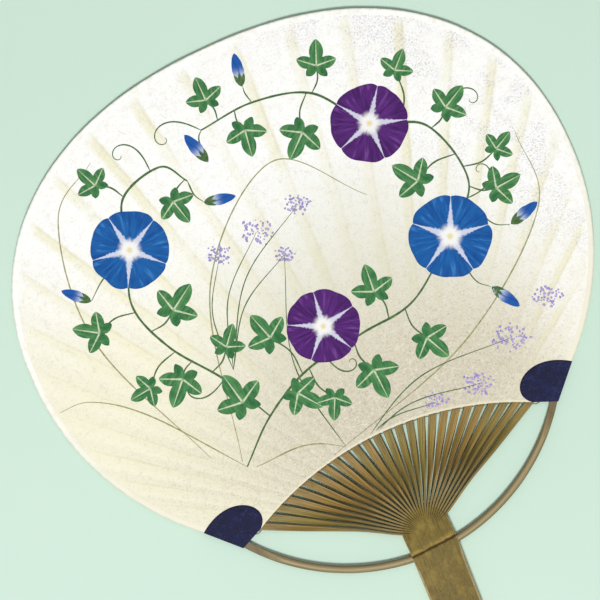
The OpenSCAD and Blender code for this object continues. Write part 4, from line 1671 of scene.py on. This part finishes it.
def make_painting():
    stem = flat_paint_finish("stem_green_paint", ink(58, 92, 52), ink(92, 122, 74))
    grass = flat_paint_finish("grass_olive_paint", ink(138, 138, 96), ink(176, 174, 130))
    leaf = leaf_finish("leaf_green_paint", ink(38, 100, 58), ink(92, 150, 90))
    blue = petal_finish("blue_petal_paint", ink(14, 70, 140), ink(24, 100, 172), ink(74, 136, 196))
    purple = petal_finish("purple_petal_paint", ink(58, 18, 84), ink(92, 40, 122), ink(124, 78, 152))
    lavender = flat_paint_finish("lavender_paint", ink(142, 128, 190), ink(186, 176, 216))
    bud = bud_finish()

    blades = Paint(0.08)
    for k, places in enumerate(GRASSES):
        blades.stroke(places, 0.62, 0.3, 0.35 + 0.05 * k)
    blades.piece("painted_grasses", grass)

    stems = Paint(0.11)
    for places in VINES:
        stems.stroke(places, 1.0, 0.6)
    for places in BUD_STALKS:
        stems.stroke(places, 0.62, 0.35, 0.3)
    for tendril in TENDRILS:
        stems.stroke(tendril_points(*tendril), 0.6, 0.3, 0.1)
    for place, _, _ in LEAVES:
        leaf_foot = Vector(place)
        foot = nearest_on_vines(leaf_foot)
        bend = (foot + leaf_foot) / 2 + 0.12 * (foot - leaf_foot).orthogonal()
        stems.stroke([foot, bend, leaf_foot], 0.7, 0.5)
    for (x, y), count in UMBEL_ROOTS:
        nearest = sorted(UMBELS, key=lambda umbel: (Vector(umbel[0]) - Vector((x, y))).length)[:count]
        for (u, v), _ in nearest:
            bend = Vector(((x + u) / 2 - 0.12 * (v - y), (y + v) / 2 + 0.12 * (u - x)))
            stems.stroke([(x, y), bend, (u, v)], 0.5, 0.3, 0.2)
    stems.piece("painted_vines", stem)

    leaves = Paint(0.14)
    for k, (place, size, lean) in enumerate(LEAVES):
        leaves.blot(place, size, lean, lobed_leaf_outline(k))
    leaves.piece("painted_leaves", leaf)

    buds, cups = Paint(0.16), Paint(0.18)
    for k, (place, size, lean) in enumerate(BUDS):
        buds.blot(place, size, lean, pointed_outline(0.4, k), 8, 48)
        base = Vector(place) - size * 0.95 * heading(lean)
        for turn in (-0.4, 0, 0.4):
            way = heading(lean + turn)
            cups.stroke([base, base + way * size * 0.35, base + way * size * 0.75], 1.7, swell=0.4)
    buds.piece("painted_buds", bud)
    cups.piece("painted_bud_cups", stem)

    for name, trumpets, finish in (("blue", BLUE_TRUMPETS, blue), ("purple", PURPLE_TRUMPETS, purple)):
        petals = Paint(0.19)
        for k, (place, size, lean) in enumerate(trumpets):
            petals.blot(place, size, lean, trumpet_outline(k + len(name)), 18, 160)
        petals.piece(f"painted_{name}_trumpets", finish)
    make_umbels(lavender)


# Floor, light and camera

SCENE_TURN = math.radians(25)
PHOTO_CENTRE = Vector((-7.6, 121.3))
PHOTO_SIDE = 260.2
CAMERA_HEIGHT = 1500.0
FLOOR_HALF_W = 1600
FLOOR_Z = -0.05


def make_floor():
    floor = Shape()
    for x, y in ((-1, -1), (1, -1), (1, 1), (-1, 1)):
        floor.point((x * FLOOR_HALF_W, y * FLOOR_HALF_W, FLOOR_Z))
    floor.faces.append([0, 1, 2, 3])
    f = Finish("pale_green_floor")
    cloud = f.mottle(0.006, 1)
    f.tone = f.blend(cloud, ink(198, 225, 207), ink(212, 233, 220))
    floor.piece("floor", f.dressed(rough=0.9, gloss=0.1))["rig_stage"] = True


KEY_ELEVATION = math.radians(70)
LAMP_AWAY = 2.2
WORLD_SHARE = 0.3
KEY_SHARE, KEY_SIZE = 0.7, 0.5
FILL_SHARE, FILL_SIZE = 0.06, 1.2


def make_light():
    """A soft studio, in which a colour renders about as it is written."""
    world = bpy.data.worlds.new("studio")
    world.use_nodes = True
    background = world.node_tree.nodes["Background"]
    background.inputs["Color"].default_value = (1, 1, 1, 1)
    background.inputs["Strength"].default_value = WORLD_SHARE
    bpy.context.scene.world = world
    middle = Vector((PHOTO_CENTRE.x, PHOTO_CENTRE.y, 0)) * MM
    towards_foot = -Vector((math.sin(SCENE_TURN), math.cos(SCENE_TURN), 0))
    rise = Vector((0, 0, math.sin(KEY_ELEVATION)))
    for name, side, share, size in (("key", 1, KEY_SHARE, KEY_SIZE), ("fill", -1, FILL_SHARE, FILL_SIZE)):
        lamp = bpy.data.lights.new(name, "AREA")
        lamp.shape = "DISK"
        lamp.size = size
        lamp.energy = share * (math.pi * LAMP_AWAY) ** 2 / math.sin(KEY_ELEVATION)
        light = in_scene(name, lamp)
        light.location = middle + LAMP_AWAY * (side * towards_foot * math.cos(KEY_ELEVATION) + rise)
        light.rotation_euler = (middle - light.location).to_track_quat("-Z", "Y").to_euler()


def make_camera():
    """Looks straight down, turned so that the handle leans to the right as it lies."""
    data = bpy.data.cameras.new("camera")
    data.lens = data.sensor_width * (CAMERA_HEIGHT - MID_Z - SHEET_OUT) / PHOTO_SIDE
    data.clip_start = 0.1
    data.clip_end = 10
    camera = in_scene("camera", data)
    camera.location = Vector((PHOTO_CENTRE.x, PHOTO_CENTRE.y, CAMERA_HEIGHT)) * MM
    camera.rotation_euler = (0, 0, -SCENE_TURN)
    bpy.context.scene.camera = camera
    bpy.context.scene.view_settings.view_transform = "Standard"


def make_fan():
    front = washi_finish("front_washi", ink(255, 255, 253), ink(244, 240, 216), ink(243, 240, 210), 1.0)
    back = washi_finish("back_washi", ink(250, 248, 240), ink(240, 234, 214), ink(232, 226, 198), 0.0)
    make_sheets(front, back)
    make_rim(rim_finish())
    navy = navy_finish()
    make_ear("left_navy_ear", "left_ear", -1, navy)
    make_ear("right_navy_ear", "right_ear", 1, navy)
    make_handle(handle_finish())
    make_ribs(rib_finish())
    make_bow(bow_finish())
    make_thread(thread_finish())
    make_painting()


make_camera()
make_light()
make_floor()
make_fan()

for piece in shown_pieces():
    if "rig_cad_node" not in piece:
        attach(piece, "root")
